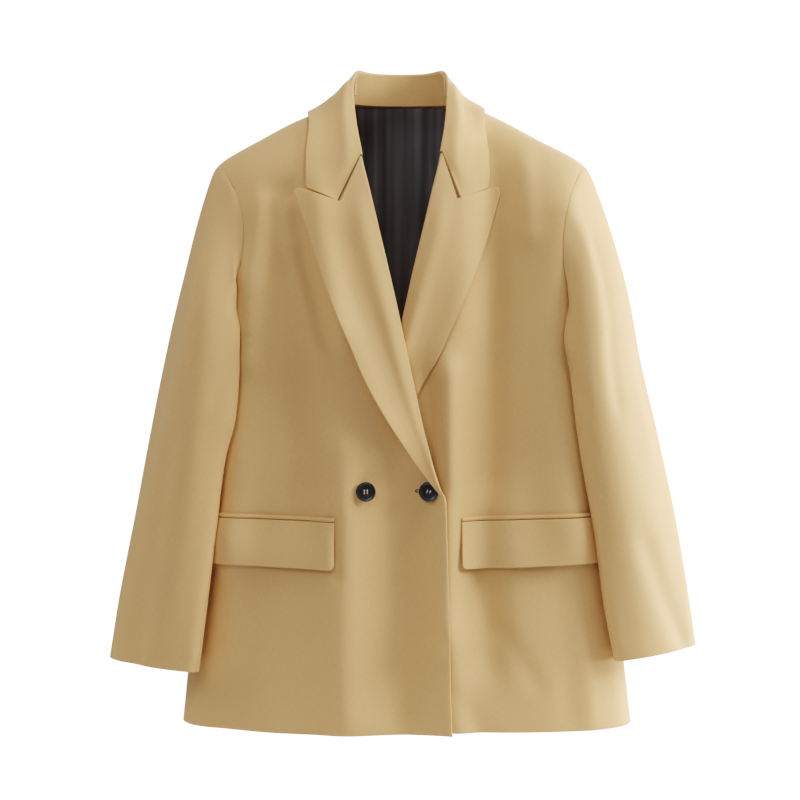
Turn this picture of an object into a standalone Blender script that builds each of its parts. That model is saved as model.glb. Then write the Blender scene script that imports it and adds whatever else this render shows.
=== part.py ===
"""Double breasted blazer, hollow and filled out with no wearer.

The front faces -Y, +X is the wearer's left and +Z is up. The origin is the middle of the neck at
the height where the collar meets the shoulders. Sizes are in millimetres and become metres where
the meshes are made. Right and left are the wearer's.
"""
import math

import bmesh
import bpy
import numpy as np
from mathutils import Vector
from mathutils.bvhtree import BVHTree

MM = 0.001

# ---------------------------------------------------------------- driving dimensions
CLOTH = 2.0                 # wall of a panel
SEAM_GAP = 0.3              # between two pieces that are sewn together
LINING_CLOTH = 1.0
LINING_GAP = 0.4            # between the back panel and its lining
FACING_CLOTH = 2.6          # lapels and collar are two layers and a canvas
FACING_LIFT = 1.1           # underside of a lapel or collar above the panel it lies on
LAPEL_SPRING = {"right": 6.0, "left": 1.6}   # how far a lapel's free edge stands off the front
LAP_LIFT = 7.6              # how far the right front passes outside the left front and its lapel
LAP_LIFT_HEM = 4.2          # the same at the hem, where no lapel lies between them
SQUARENESS = 2.4            # exponent of the body's superellipse sections, 2 is an ellipse

NECK_HEIGHT = 18.7
SHOULDER_HEIGHT = -64.0
UNDERARM_HEIGHT = -240.0
BREAK_HEIGHT = -460.0       # where the lapels end and the straight front edges begin
LAPEL_END = -456.0          # lowest point of a lapel, just above the break
HEM_HEIGHT = -731.0
HEM_SIDE_RISE = 2.0         # the hem is this much higher at the sides
HEM_RISE_LEFT = 4.0         # the left front's hem is this much higher at its front edge

FLAP_THICKNESS = 2.4
FLAP_DEPTH = 54.0
FLAP_REACH = {"right": (76.0, 221.0), "left": (70.5, 226.0)}   # inner and outer end from centre
FLAP_TOP_Z = -486.0
FLAP_TILT = 0.035           # rise of the pocket mouth for each unit towards the side
FLAP_CORNER = 7.0
FLAP_LIFT = 1.1
WELT_WIDTH = 5.0
WELT_THICKNESS = 1.8
WELT_LIFT = 1.1
WELT_GAP = 0.6              # between the welt and the flap under it

BUTTON_RADIUS = 11.2
BUTTON_HEIGHT = 3.0
BUTTON_RIM = 2.0
BUTTON_DISH = 0.9
BUTTON_HOLE_RADIUS = 1.1
BUTTON_HOLE_SPACING = 2.4
BUTTON_Z = -450.0
BUTTON_X = {"button_show": -40.0, "button_closing": 31.5}

# height, half width, centre shift, depth of front, depth of back
BODY_SECTIONS = (
    (-731.0, 268.0, 6.6, 85.0, 95.0),
    (-675.0, 262.0, 6.0, 87.0, 96.0),
    (-600.0, 254.0, 5.0, 90.0, 97.0),
    (-530.0, 243.0, 4.0, 93.0, 97.0),
    (-450.0, 227.0, 3.0, 97.0, 96.0),
    (-370.0, 212.0, 2.0, 101.0, 96.0),
    (-300.0, 204.0, 1.0, 107.0, 100.0),
    (-240.0, 203.0, 0.0, 110.0, 106.0),
    (-200.0, 208.0, 0.0, 109.0, 108.0),
    (-150.0, 222.0, 0.0, 104.0, 108.0),
    (-110.0, 233.0, 0.0, 94.0, 104.0),
    (-84.0, 231.0, 0.0, 86.0, 100.0),
    (-64.0, 218.0, 0.0, 78.0, 97.0),
    (-27.0, 160.0, 0.0, 55.0, 88.0),
    (0.0, 109.0, 0.0, 30.0, 78.0),
    (18.7, 75.0, 0.0, 10.0, 65.0),
)

# height, distance of the front's free edge from the centre, positive on its own side:
# straight front edge below the break, roll line above it, neck edge at the top
FRONT_EDGE = (
    (-731.0, -58.0), (-699.0, -57.0), (-602.0, -55.0), (-506.0, -52.0), (-460.0, -50.0),
    (-446.0, -44.0), (-396.0, -31.0), (-323.0, -15.0), (-253.0, 0.0), (-200.0, 12.0),
    (-146.0, 25.0), (-103.0, 35.5), (-60.0, 46.0), (-25.0, 51.0), (5.0, 55.0), (18.7, 70.0),
)

# height, distance of the armhole seam from the centre in front and at the back
ARMHOLE = (
    (-240.0, 203.0, 203.0), (-238.8, 201.8, 202.2), (-236.0, 198.0, 200.3), (-230.5, 192.0, 198.0),
    (-221.0, 186.0, 196.3), (-206.0, 181.7, 194.8), (-183.0, 180.0, 194.3), (-155.0, 180.8, 196.5),
    (-127.0, 185.0, 200.6), (-100.0, 194.0, 206.5), (-80.0, 206.0, 212.5), (-64.0, 218.0, 218.0),
)

SHOULDER_ROWS = (-46.0, -27.0, -8.0, 8.0, NECK_HEIGHT)
BODY_ROWS = (HEM_HEIGHT, -678.0, -625.0, -573.0, -522.0, -472.0, -419.0, -366.0, -315.0, -272.0)
FRONT_COLUMNS = 12
BACK_COLUMNS = 15
LINING_HEM_ROW = 1          # the lining ends one row above the hem

# height, then the distance from the centre of the right and of the left lapel's outer edge,
# from the break to the peak
LAPEL_OUTER = (
    (-460.0, -50.0, -50.0), (-434.0, -29.0, -33.0), (-396.0, -3.0, -12.0), (-363.0, 18.0, 6.0),
    (-323.0, 40.0, 27.0), (-283.0, 57.0, 48.0), (-240.0, 75.0, 67.5), (-198.0, 91.0, 86.0),
    (-150.0, 107.0, 104.0), (-106.0, 123.0, 116.0),
)
# per side: x and z of the lapel's peak, the notch and the collar's corner, and the height at which
# the gorge seam between lapel and collar meets the roll line; then how much higher up the shoulder
# the collar's outer edge lies than in COLLAR_STATIONS
GORGE = {
    "right": dict(peak=(124.0, -101.0), notch=(73.0, -116.0), gorge_z=-62.0, corner=(108.0, -102.0),
                  collar_rise=0.0),
    "left": dict(peak=(116.5, -99.0), notch=(68.0, -114.0), gorge_z=-58.0, corner=(102.0, -100.0),
                 collar_rise=4.5),
}
LAPEL_ROWS = (0.0, 0.03, 0.07, 0.12, 0.19, 0.28, 0.38, 0.49, 0.6, 0.71, 0.82, 0.91, 0.965, 1.0)
LAPEL_COLUMNS = 6
LAPEL_END_WIDTH = 1.2       # a lapel's width at its lowest point
GORGE_GAP = 0.5             # between the collar's end and the lapel's top edge

# front folds: start x and z, end x and z, half width, height (a trough is negative)
FRONT_FOLDS = (
    (-163.0, -110.0, -171.0, -229.0, 14.0, 3.0),
    (-137.0, -98.0, -118.0, -262.0, 22.0, -4.0),
    (-97.0, -267.0, -97.0, -425.0, 18.0, -4.0),
    (-53.0, -390.0, -50.0, -618.0, 34.0, 3.5),
    (22.0, -500.0, 30.0, -650.0, 18.0, -3.0),
    (78.0, -243.0, 66.0, -460.0, 20.0, 4.0),
    (131.0, -62.0, 131.0, -368.0, 30.0, -5.0),
    (148.0, -590.0, 176.0, -655.0, 24.0, -4.0),
    (-170.0, -560.0, -185.0, -731.0, 24.0, 3.0),
)
# back folds, in the same columns
BACK_FOLDS = (
    (-158.0, -110.0, -128.0, -330.0, 26.0, -5.0),
    (152.0, -120.0, 132.0, -310.0, 24.0, -4.0),
    (-60.0, -230.0, -78.0, -560.0, 34.0, 4.0),
    (12.0, -300.0, 22.0, -600.0, 38.0, -5.0),
    (96.0, -380.0, 118.0, -731.0, 30.0, 5.0),
    (-150.0, -480.0, -172.0, -731.0, 30.0, -4.0),
)

# sleeve rings down the arm: centre height, distance out, distance forward; then the reach of the
# outer edge (out, back, up) and of the front edge (forward, in)
SLEEVE_RINGS = {
    "right": (
        (-240.0, 224.0, 22.0, 33.0, 4.0, 29.0, 76.0, 14.0),
        (-316.0, 236.0, 30.0, 39.0, 8.0, 16.0, 70.0, 18.0),
        (-400.0, 250.0, 35.0, 44.0, 12.0, 8.0, 62.0, 18.0),
        (-500.0, 266.0, 35.0, 49.0, 15.0, 8.5, 54.0, 16.0),
        (-590.0, 281.0, 35.0, 53.0, 18.0, 7.5, 46.0, 13.0),
        (-657.0, 291.5, 34.0, 55.5, 20.0, 4.5, 36.0, 10.0),
    ),
    "left": (
        (-240.0, 226.0, 22.0, 36.0, 4.0, 29.0, 76.0, 14.0),
        (-316.0, 239.0, 30.0, 39.5, 8.0, 16.0, 70.0, 18.0),
        (-400.0, 255.0, 35.0, 44.5, 12.0, 8.0, 62.0, 18.0),
        (-500.0, 274.5, 35.0, 46.5, 15.0, 8.5, 54.0, 16.0),
        (-585.0, 287.5, 35.0, 49.0, 18.0, 7.5, 46.0, 13.0),
        (-643.0, 298.0, 34.0, 49.0, 20.0, 6.0, 36.0, 10.0),
    ),
}
ARMHOLE_GAP = 0.4           # between the armhole's edge and the sleeve
UNDERARM_GAP = 0.5          # added sideways under the arm, where the armhole's edge runs level
SLEEVE_STATIONS = (0.0, 0.3, 0.65, 1.0, 1.5, 2.0, 3.0, 4.0, 5.0, 6.0)
SLEEVE_CLEARANCE = (0.4, 1.6, 2.4, 3.0, 3.0, 3.0, 4.0, 6.5, 6.5, 6.5)   # from the body, by station
SLEEVE_PUSH_BELOW = -225.0   # only cloth below this height is held off the body
ARMHOLE_NORMAL_SHARES = (1.0, 0.45, 0.15)   # how far the first rows' walls stand as the panel's does
SLEEVE_SEAM_SHIFT = 0.3     # how far each half's edge stands back from the seam between them
SLEEVE_FRONT_SEAM = 7       # armhole point where the front seam of the sleeve starts
SLEEVE_BACK_SEAM = 17       # armhole point where the back seam of the sleeve starts

# collar stations from the gorge to the middle of the back:
# fold x, y, z; middle of the fall x, y, z; outer edge as an angle round the body and a height
COLLAR_STATIONS = (
    (51.0, -55.0, -24.0, 80.0, -62.0, -42.0, 30.4, -56.0),
    (54.5, -30.0, 6.0, 82.0, -36.0, -9.0, 41.6, -24.0),
    (55.0, -8.0, 32.0, 79.0, -3.0, 20.5, 90.0, 0.0),
    (52.0, 22.0, 50.0, 75.0, 32.0, 25.0, 122.0, 2.0),
    (39.0, 47.0, 54.5, 53.0, 60.0, 33.0, 145.0, 3.0),
    (18.0, 58.0, 56.0, 22.0, 71.0, 34.0, 165.0, 3.0),
    (0.0, 60.0, 56.0, 0.0, 73.5, 34.0, 180.0, 3.0),
)
COLLAR_COLUMNS = 6
COLLAR_LINES = (0.0, 0.2, 0.4, 0.6, 0.8, 1.0, 1.33, 1.67, 2.0, 2.33, 2.67, 3.0, 3.5, 4.0, 4.5, 5.0,
                6.0, 7.0)
# stand stations: top x, y, z; lower edge x, y, z
STAND_STATIONS = (
    (55.2, -20.0, 17.2, 59.2, -14.5, 14.8),
    (54.4, -7.0, 31.0, 72.4, 0.0, 20.0),
    (51.4, 21.7, 49.0, 69.5, 28.0, 19.6),
    (38.5, 46.2, 53.5, 50.0, 52.0, 19.6),
    (17.7, 57.0, 55.0, 22.0, 62.2, 19.6),
    (0.0, 59.0, 55.0, 0.0, 63.8, 19.6),
)
STAND_COLUMNS = 4

CLOTH_COLOUR = (0.55, 0.37, 0.16)
LINING_COLOUR = (0.021, 0.021, 0.024)
BUTTON_COLOUR = (0.024, 0.024, 0.028)


# ---------------------------------------------------------------- curves
def smooth_value(knots, values, at):
    """Value at `at` on a curve through rising knots, with no overshoot between them."""
    knots = np.asarray(knots, float)
    values = np.asarray(values, float)
    at = min(max(at, knots[0]), knots[-1])
    steps = np.diff(knots)
    slopes = np.diff(values) / steps
    tangents = np.empty(len(knots))
    tangents[0], tangents[-1] = slopes[0], slopes[-1]
    for i in range(1, len(knots) - 1):
        same_way = slopes[i - 1] * slopes[i] > 0
        weights = steps[i - 1] + steps[i]
        mean = (slopes[i - 1] * steps[i] + slopes[i] * steps[i - 1]) / weights
        limit = 2.5 * min(abs(slopes[i - 1]), abs(slopes[i]))
        tangents[i] = math.copysign(min(abs(mean), limit), mean) if same_way else 0.0
    k = min(int(np.searchsorted(knots, at, side="right")) - 1, len(knots) - 2)
    u = (at - knots[k]) / steps[k]
    start = (1 + 2 * u) * (1 - u) ** 2 * values[k] + u * (1 - u) ** 2 * steps[k] * tangents[k]
    end = u * u * (3 - 2 * u) * values[k + 1] + u * u * (u - 1) * steps[k] * tangents[k + 1]
    return start + end


def column(table, number):
    return [row[number] for row in table]


def table_value(table, number, at):
    return smooth_value(column(table, 0), column(table, number), at)


def ease(x):
    x = min(max(x, 0.0), 1.0)
    return x * x * (3 - 2 * x)


def unit(vector):
    return vector / np.linalg.norm(vector)


def curve_through(points, start_tangent, stations):
    """Points at the given stations (0 is the first point, 1 the second) of a smooth curve."""
    points = np.asarray(points, float)
    chords = np.linalg.norm(np.diff(points, axis=0), axis=1)
    tangents = [start_tangent]
    for i in range(1, len(points) - 1):
        before = (points[i] - points[i - 1]) / chords[i - 1]
        after = (points[i + 1] - points[i]) / chords[i]
        tangents.append(unit(before * chords[i] + after * chords[i - 1]))
    tangents.append(unit(points[-1] - points[-2]))
    result = []
    for station in stations:
        k = min(int(station), len(points) - 2)
        u = station - k
        result.append((1 + 2 * u) * (1 - u) ** 2 * points[k] + u * u * (3 - 2 * u) * points[k + 1]
                      + u * (1 - u) ** 2 * chords[k] * tangents[k]
                      + u * u * (u - 1) * chords[k] * tangents[k + 1])
    return result


# ---------------------------------------------------------------- the body's surface
def body_section(z):
    """Half width, centre shift, depth of front and depth of back at a height."""
    return [table_value(BODY_SECTIONS, number, z) for number in (1, 2, 3, 4)]


def angle_at(x, z, behind=False):
    """Angle round the body, from the centre front towards +X, of the point at x."""
    half_width, shift, _, _ = body_section(z)
    across = min(max((x - shift) / half_width, -1.0), 1.0)
    along = (1 - abs(across) ** SQUARENESS) ** (1 / SQUARENESS)
    return math.atan2(across, -along if behind else along)


def fold_height(x, z, folds):
    total = 0.0
    for x0, z0, x1, z1, width, height in folds:
        length = math.hypot(x1 - x0, z1 - z0)
        along = ((x - x0) * (x1 - x0) + (z - z0) * (z1 - z0)) / length
        aside = ((x - x0) * (z1 - z0) - (z - z0) * (x1 - x0)) / length
        past = max(-along, along - length, 0.0)
        total += height * math.exp(-(aside / width) ** 2 - (past / (1.6 * width)) ** 2)
    return total


def lap_height(x, z):
    """How far the right front is lifted where it passes over the left one."""
    lift = LAP_LIFT_HEM + (LAP_LIFT - LAP_LIFT_HEM) * ease((z - HEM_HEIGHT) / (BREAK_HEIGHT - HEM_HEIGHT))
    fade_up = 1 - ease((z + 250.0) / 110.0)
    return lift * fade_up * ease((x + 135.0) / 70.0)


def body_point(angle, z, lift=0.0, lapped=False):
    """Point of the body's outer surface at an angle and a height, moved out by lift."""
    half_width, shift, front, back = body_section(z)
    s, c = math.sin(angle), math.cos(angle)
    depth = front if c > 0 else back
    reach = (abs(s) ** SQUARENESS + abs(c) ** SQUARENESS) ** (-1 / SQUARENESS)
    x, y = half_width * reach * s, -depth * reach * c
    step = 0.5
    above, below = body_section(z + step), body_section(z - step)
    depth_column = 2 if c > 0 else 3
    widening = (above[0] - below[0]) / (2 * step)
    deepening = (above[depth_column] - below[depth_column]) / (2 * step)
    wide, deep = abs(x / half_width), abs(y / depth)
    normal = unit(np.array((
        math.copysign(wide ** (SQUARENESS - 1), x) / half_width,
        math.copysign(deep ** (SQUARENESS - 1), y) / depth,
        -(wide ** SQUARENESS) * widening / half_width - (deep ** SQUARENESS) * deepening / depth,
    )))
    level = unit(np.array((normal[0], normal[1], 0.0)))
    x += shift
    relief = fold_height(x, z, FRONT_FOLDS if c > 0 else BACK_FOLDS)
    if lapped:
        relief += lap_height(x, z)
    return np.array((x, y, z)) + level * relief + normal * lift


def front_point(x, z, lift, lapped):
    """Point on a front at x and z, moved out by lift."""
    return body_point(angle_at(x, z), z, lift, lapped)


def clearance(point):
    """About how far a point is from the body's outer surface, negative inside it."""
    x, y, z = point
    half_width, shift, front, back = body_section(z)
    depth = front if y < 0 else back
    wide, deep = abs(x - shift) / half_width, abs(y) / depth
    return (wide ** SQUARENESS + deep ** SQUARENESS) ** (1 / SQUARENESS) - 1


def clear_of_body(point, gap):
    """The point, moved straight out where it is nearer than gap to the body."""
    step = 0.5
    point = np.array(point, float)
    for _ in range(4):
        slope = np.array([clearance(point + shift) - clearance(point - shift)
                          for shift in np.eye(3) * step]) / (2 * step)
        steepness = np.linalg.norm(slope)
        folds = FRONT_FOLDS if point[1] < 0 else BACK_FOLDS
        distance = clearance(point) / steepness - fold_height(point[0], point[2], folds)
        if distance >= gap or point[2] > NECK_HEIGHT + 1:
            break
        point += slope / steepness * (gap - distance)
    return point


# ---------------------------------------------------------------- meshes
def cloth_material(name, colour, roughness):
    material = bpy.data.materials.new(name)
    material.use_nodes = True
    shader = material.node_tree.nodes["Principled BSDF"]
    shader.inputs["Base Color"].default_value = (*colour, 1.0)
    shader.inputs["Roughness"].default_value = roughness
    shader.inputs["Metallic"].default_value = 0.0
    return material


def make_object(name, points, faces, colour, roughness):
    mesh = bpy.data.meshes.new(name)
    mesh.from_pydata([tuple(point * MM for point in row) for row in points], [], faces)
    shape = bmesh.new()
    shape.from_mesh(mesh)
    bmesh.ops.recalc_face_normals(shape, faces=shape.faces)
    shape.to_mesh(mesh)
    shape.free()
    mesh.shade_smooth()
    mesh.set_sharp_from_angle(angle=math.radians(50))
    thing = bpy.data.objects.new(name, mesh)
    bpy.context.scene.collection.objects.link(thing)
    mesh.materials.append(cloth_material(name, colour, roughness))
    return thing


def wall(name, outer, inner, colour=CLOTH_COLOUR, roughness=0.85):
    """A closed wall between two like grids of points, with a rim round its four sides."""
    outer, inner = np.asarray(outer), np.asarray(inner)
    rows, columns = outer.shape[:2]
    count = rows * columns
    faces = []
    for i in range(rows - 1):
        for j in range(columns - 1):
            a, b = i * columns + j, (i + 1) * columns + j
            faces += [(a, b, b + 1), (a, b + 1, a + 1)]
    faces += [tuple(count + corner for corner in reversed(face)) for face in faces]
    border = list(range(columns))
    border += [i * columns + columns - 1 for i in range(1, rows)]
    border += [(rows - 1) * columns + j for j in range(columns - 2, -1, -1)]
    border += [i * columns for i in range(rows - 2, 0, -1)]
    for here, there in zip(border, border[1:] + border[:1]):
        faces += [(here, there, there + count), (here, there + count, here + count)]
    points = np.concatenate((outer.reshape(-1, 3), inner.reshape(-1, 3)))
    return make_object(name, points, faces, colour, roughness)


def grid_normals(grid):
    """Unit normals of a grid of points, from its two directions."""
    grid = np.asarray(grid)
    down = np.gradient(grid, axis=0)
    across = np.gradient(grid, axis=1)
    normals = np.cross(down, across)
    return normals / np.linalg.norm(normals, axis=2, keepdims=True)


def thicken(grid, thickness, outward):
    """The grid moved by thickness along its normals, on the side that `outward` points to."""
    normals = grid_normals(grid)
    way = math.copysign(1.0, float(np.sum(normals * np.asarray(outward))))
    return np.asarray(grid) + normals * thickness * way


# ---------------------------------------------------------------- fronts, back and lining
def armhole_rows():
    return column(ARMHOLE, 0)


def panel_rows():
    return list(BODY_ROWS) + armhole_rows() + list(SHOULDER_ROWS)


def outer_angle(z, side, behind):
    """Angle of a panel's outer edge: side seam, armhole or shoulder seam."""
    if UNDERARM_HEIGHT < z < SHOULDER_HEIGHT:
        x = table_value(ARMHOLE, 2 if behind else 1, z)
        return angle_at(side * x + body_section(z)[1], z, behind)
    return side * math.pi / 2


def hem_rise(angle):
    return HEM_SIDE_RISE * math.sin(angle) ** 4


def front_grid(side, lift):
    lapped = side < 0
    grid = []
    for z in panel_rows():
        start = angle_at(side * table_value(FRONT_EDGE, 1, z), z)
        end = outer_angle(z, side, False)
        row = []
        for j in range(FRONT_COLUMNS):
            u = j / (FRONT_COLUMNS - 1)
            angle = start + (end - start) * u
            rise = hem_rise(angle) if z == HEM_HEIGHT else 0.0
            if z == HEM_HEIGHT and not lapped:
                rise += HEM_RISE_LEFT * (1 - ease(1.4 * u))
            row.append(body_point(angle, z + rise, lift, lapped))
        row[-1][1] = min(row[-1][1], -SEAM_GAP / 2)
        grid.append(row)
    return grid


def make_fronts():
    for name, side in (("front_right", -1), ("front_left", 1)):
        wall(name, front_grid(side, 0.0), front_grid(side, -CLOTH))


def back_grid(lift, rows):
    grid = []
    for z in rows:
        left, right = outer_angle(z, 1, True), outer_angle(z, -1, True) + 2 * math.pi
        row = []
        for j in range(BACK_COLUMNS):
            angle = left + (right - left) * j / (BACK_COLUMNS - 1)
            rise = hem_rise(angle) if z == HEM_HEIGHT else 0.0
            row.append(body_point(angle, z + rise, lift))
        for end in (0, -1):
            row[end][1] = max(row[end][1], SEAM_GAP / 2)
        grid.append(row)
    return grid


def make_back():
    rows = panel_rows()
    wall("back", back_grid(0.0, rows), back_grid(-CLOTH, rows))


def make_back_lining():
    rows = panel_rows()[LINING_HEM_ROW:]
    outside = -CLOTH - LINING_GAP
    wall("back_lining", back_grid(outside, rows), back_grid(outside - LINING_CLOTH, rows),
         LINING_COLOUR, 0.45)


# ---------------------------------------------------------------- sleeves
def armhole_loop(side):
    """Points and normals round the armhole: from the tip down the front, then up the back."""
    down = armhole_rows()[::-1]
    stops = [(z, False) for z in down] + [(z, True) for z in down[-2:0:-1]]
    points, normals = [], []
    for z, behind in stops:
        angle = outer_angle(z, side, behind)
        points.append(body_point(angle, z))
        normals.append(body_point(angle, z, 1.0) - body_point(angle, z))
    return np.array(points), np.array(normals)


def sleeve_start(side):
    """First ring of a sleeve, a seam's gap off the armhole, the way its cloth sets out, its turn
    round the arm, the panel's normal there and how far under the arm it is, from 0 to 1."""
    loop, normals = armhole_loop(side)
    along = np.roll(loop, -1, axis=0) - np.roll(loop, 1, axis=0)
    away = -side * np.cross(along, normals)
    away /= np.linalg.norm(away, axis=1, keepdims=True)
    steps = np.linalg.norm(np.roll(loop, -1, axis=0) - loop, axis=1)
    low = len(armhole_rows()) - 1
    travelled = np.concatenate(([0.0], np.cumsum(steps)))
    front, rear = travelled[low], travelled[-1] - travelled[low]
    turns = [math.pi * travelled[i] / front if i <= low
             else math.pi * (1 + (travelled[i] - travelled[low]) / rear) for i in range(len(loop))]
    outward = np.array((side, 0.0, 0.0))
    ring, leads, unders = [], [], []
    for point, way, turn in zip(loop, away, turns):
        under = ease((1 - math.cos(turn)) / 2 * 1.5 - 0.5)
        unders.append(under)
        ring.append(point + way * ARMHOLE_GAP + outward * under * UNDERARM_GAP)
        leads.append(unit(way * (1 - under) + outward * under))
    return np.array(ring), np.array(leads), turns, normals, np.array(unders)[:, None]


def sleeve_layers(side, name):
    """Rows down the arm of points round the sleeve, on its outer and on its inner surface."""
    start, leads, turns, normals, unders = sleeve_start(side)
    columns = []
    for first, lead, turn in zip(start, leads, turns):
        points = [first]
        for z, out, forward, wide, back, up, deep, inward in SLEEVE_RINGS[name]:
            across, ahead = math.cos(turn), math.sin(turn)
            points.append(np.array((
                side * (out + wide * across - inward * ahead),
                -forward + back * across - deep * ahead,
                z + up * across,
            )))
        chord = unit(points[1] - first)
        columns.append(curve_through(points, unit(chord + 0.5 * lead), SLEEVE_STATIONS))
    grid = np.array(columns).transpose(1, 0, 2)
    for i in range(1, len(grid)):
        for j in range(grid.shape[1]):
            if grid[i, j, 2] < SLEEVE_PUSH_BELOW:
                grid[i, j] = clear_of_body(grid[i, j], SLEEVE_CLEARANCE[i])
    closed = np.concatenate((grid[:, -1:], grid, grid[:, :1]), axis=1)
    inner = thicken(closed, CLOTH, closed.mean(axis=1, keepdims=True) - closed)[:, 1:-1]
    for i, share in enumerate(ARMHOLE_NORMAL_SHARES):
        panel_like = (1 - unders) * share
        inner[i] = (grid[i] - normals * CLOTH) * panel_like + inner[i] * (1 - panel_like)
    return grid, inner


def sleeve_part(grid, inner, columns):
    """Outer and inner grids of the given columns, eased apart from their neighbours at the seams."""
    outside, inside = grid[:, columns].copy(), inner[:, columns].copy()
    for layer in (outside, inside):
        for edge, neighbour in ((0, 1), (-1, -2)):
            way = layer[:, neighbour] - layer[:, edge]
            way /= np.linalg.norm(way, axis=1, keepdims=True)
            layer[:, edge] += way * SLEEVE_SEAM_SHIFT
    return outside, inside


def make_sleeves():
    for name, side in (("right", -1), ("left", 1)):
        grid, inner = sleeve_layers(side, name)
        around = grid.shape[1]
        top = [(SLEEVE_BACK_SEAM + i) % around
               for i in range((SLEEVE_FRONT_SEAM - SLEEVE_BACK_SEAM) % around + 1)]
        under = list(range(SLEEVE_FRONT_SEAM, SLEEVE_BACK_SEAM + 1))
        wall("top_sleeve_" + name, *sleeve_part(grid, inner, top))
        wall("under_sleeve_" + name, *sleeve_part(grid, inner, under))


# ---------------------------------------------------------------- lapels and collar
def lapel_spring(name, z, u):
    """Extra lift of a lapel, most at its free edge low down, none at the peak and the break."""
    if name == "right":
        reach = ease((z - BREAK_HEIGHT - 6.0) / 8.0) * ease((-120.0 - z) / 160.0)
    else:
        reach = ease((z + 330.0) / 50.0) * ease((-120.0 - z) / 80.0)
    return LAPEL_SPRING[name] * reach * (0.3 + 0.7 * ease(u))


def gorge_top(name):
    """Where the gorge seam meets the roll line."""
    z = GORGE[name]["gorge_z"]
    return table_value(FRONT_EDGE, 1, z), z


def lapel_grid(name, side, thickness):
    """Rows from the gorge down to the break, columns from the roll line to the outer edge."""
    marks = GORGE[name]
    roll_top, notch, peak = gorge_top(name), marks["notch"], marks["peak"]
    outer_column = 1 if name == "right" else 2
    grid = []
    for v in LAPEL_ROWS:
        roll_z = roll_top[1] + (LAPEL_END - roll_top[1]) * v
        edge_z = peak[1] - 1.0 + (LAPEL_END - peak[1]) * v
        roll_x = table_value(FRONT_EDGE, 1, roll_z)
        edge_x = table_value(LAPEL_OUTER, outer_column, edge_z) + LAPEL_END_WIDTH * v
        row = []
        for j in range(LAPEL_COLUMNS):
            u = j / (LAPEL_COLUMNS - 1)
            x, z = roll_x + (edge_x - roll_x) * u, roll_z + (edge_z - roll_z) * u
            share = u / 0.4 if u < 0.4 else (1 - u) / 0.6
            straight_x = roll_top[0] + (peak[0] - roll_top[0]) * 0.4
            straight_z = roll_top[1] + (peak[1] - 1.0 - roll_top[1]) * 0.4
            fade = (1 - v) ** 3
            x += (notch[0] - straight_x) * share * fade - GORGE_GAP * fade * max(0.0, 1 - u / 0.4)
            z += (notch[1] - straight_z) * share * fade - GORGE_GAP * fade
            lift = FACING_LIFT + lapel_spring(name, z, u) + thickness
            row.append(front_point(side * x, z, lift, side < 0))
        grid.append(row)
    return grid


def make_lapels():
    for name, side in (("right", -1), ("left", 1)):
        wall("lapel_" + name, lapel_grid(name, side, FACING_CLOTH), lapel_grid(name, side, 0.0))


def collar_half(name, side):
    """Cross lines of the fall's underside, from the gorge to the middle of the back."""
    turn, notch, corner = (np.array(mark) for mark in
                           (gorge_top(name), GORGE[name]["notch"], GORGE[name]["corner"]))
    spread = np.linspace(0, 1, COLLAR_COLUMNS)
    stations = []
    for u in spread:
        x, z = turn + (notch - turn) * min(2 * u, 1.0) + (corner - notch) * max(2 * u - 1, 0.0)
        line = [front_point(side * x, z, FACING_LIFT, False)]
        for fx, fy, fz, mx, my, mz, angle, low_z in COLLAR_STATIONS:
            fold, middle = np.array((side * fx, fy, fz)), np.array((side * mx, my, mz))
            low_z += GORGE[name]["collar_rise"] * (1 - ease((angle - 90.0) / 60.0))
            edge = body_point(side * math.radians(angle), low_z, FACING_LIFT)
            line.append(fold * (1 - u) * (1 - 2 * u) + middle * 4 * u * (1 - u) + edge * u * (2 * u - 1))
        along = curve_through(line, unit(line[1] - line[0]), COLLAR_LINES)
        stations.append([along[0]] + [clear_of_body(point, FACING_LIFT + 0.3) for point in along[1:]])
    return [list(points) for points in zip(*stations)]


def make_collar_fall():
    right, left = collar_half("right", -1), collar_half("left", 1)
    grid = np.array(right + left[-2::-1])
    outward = grid - np.array((0.0, 10.0, -60.0))
    wall("collar_fall", thicken(grid, FACING_CLOTH, outward), grid)


def make_collar_stand():
    lines = []
    for side in (-1, 1):
        half = []
        for x, y, z, low_x, low_y, low_z in STAND_STATIONS:
            top, low = np.array((side * x, y, z)), np.array((side * low_x, low_y, low_z))
            half.append([top + (low - top) * u for u in np.linspace(0, 1, STAND_COLUMNS)])
        lines += half if side < 0 else half[-2::-1]
    grid = np.array(lines)
    inward = np.array((0.0, 15.0, 35.0)) - grid
    wall("collar_stand", grid, thicken(grid, CLOTH, inward))


# ---------------------------------------------------------------- pockets
def pocket_mouth(across):
    """Height of the pocket's mouth at a distance from its inner end."""
    return FLAP_TOP_Z + FLAP_TILT * across


def flap_grid(name, side, lift):
    rows, columns = 6, 13
    inner, outer = FLAP_REACH[name]
    grid = []
    for i in range(rows):
        down = FLAP_DEPTH * i / (rows - 1)
        over = max(0.0, down - (FLAP_DEPTH - FLAP_CORNER))
        inset = FLAP_CORNER - math.sqrt(FLAP_CORNER ** 2 - over ** 2)
        row = []
        for across in np.linspace(inset, outer - inner - inset, columns):
            x = side * (inner + across)
            row.append(front_point(x, pocket_mouth(across) - down, lift, side < 0))
        grid.append(row)
    return grid


def welt_grid(name, side, lift):
    inner, outer = FLAP_REACH[name]
    spans = np.linspace(0.0, outer - inner, 13)
    return [[front_point(side * (inner + across), pocket_mouth(across) + up, lift, side < 0)
             for across in spans] for up in (WELT_GAP, WELT_GAP + WELT_WIDTH)]


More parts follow.
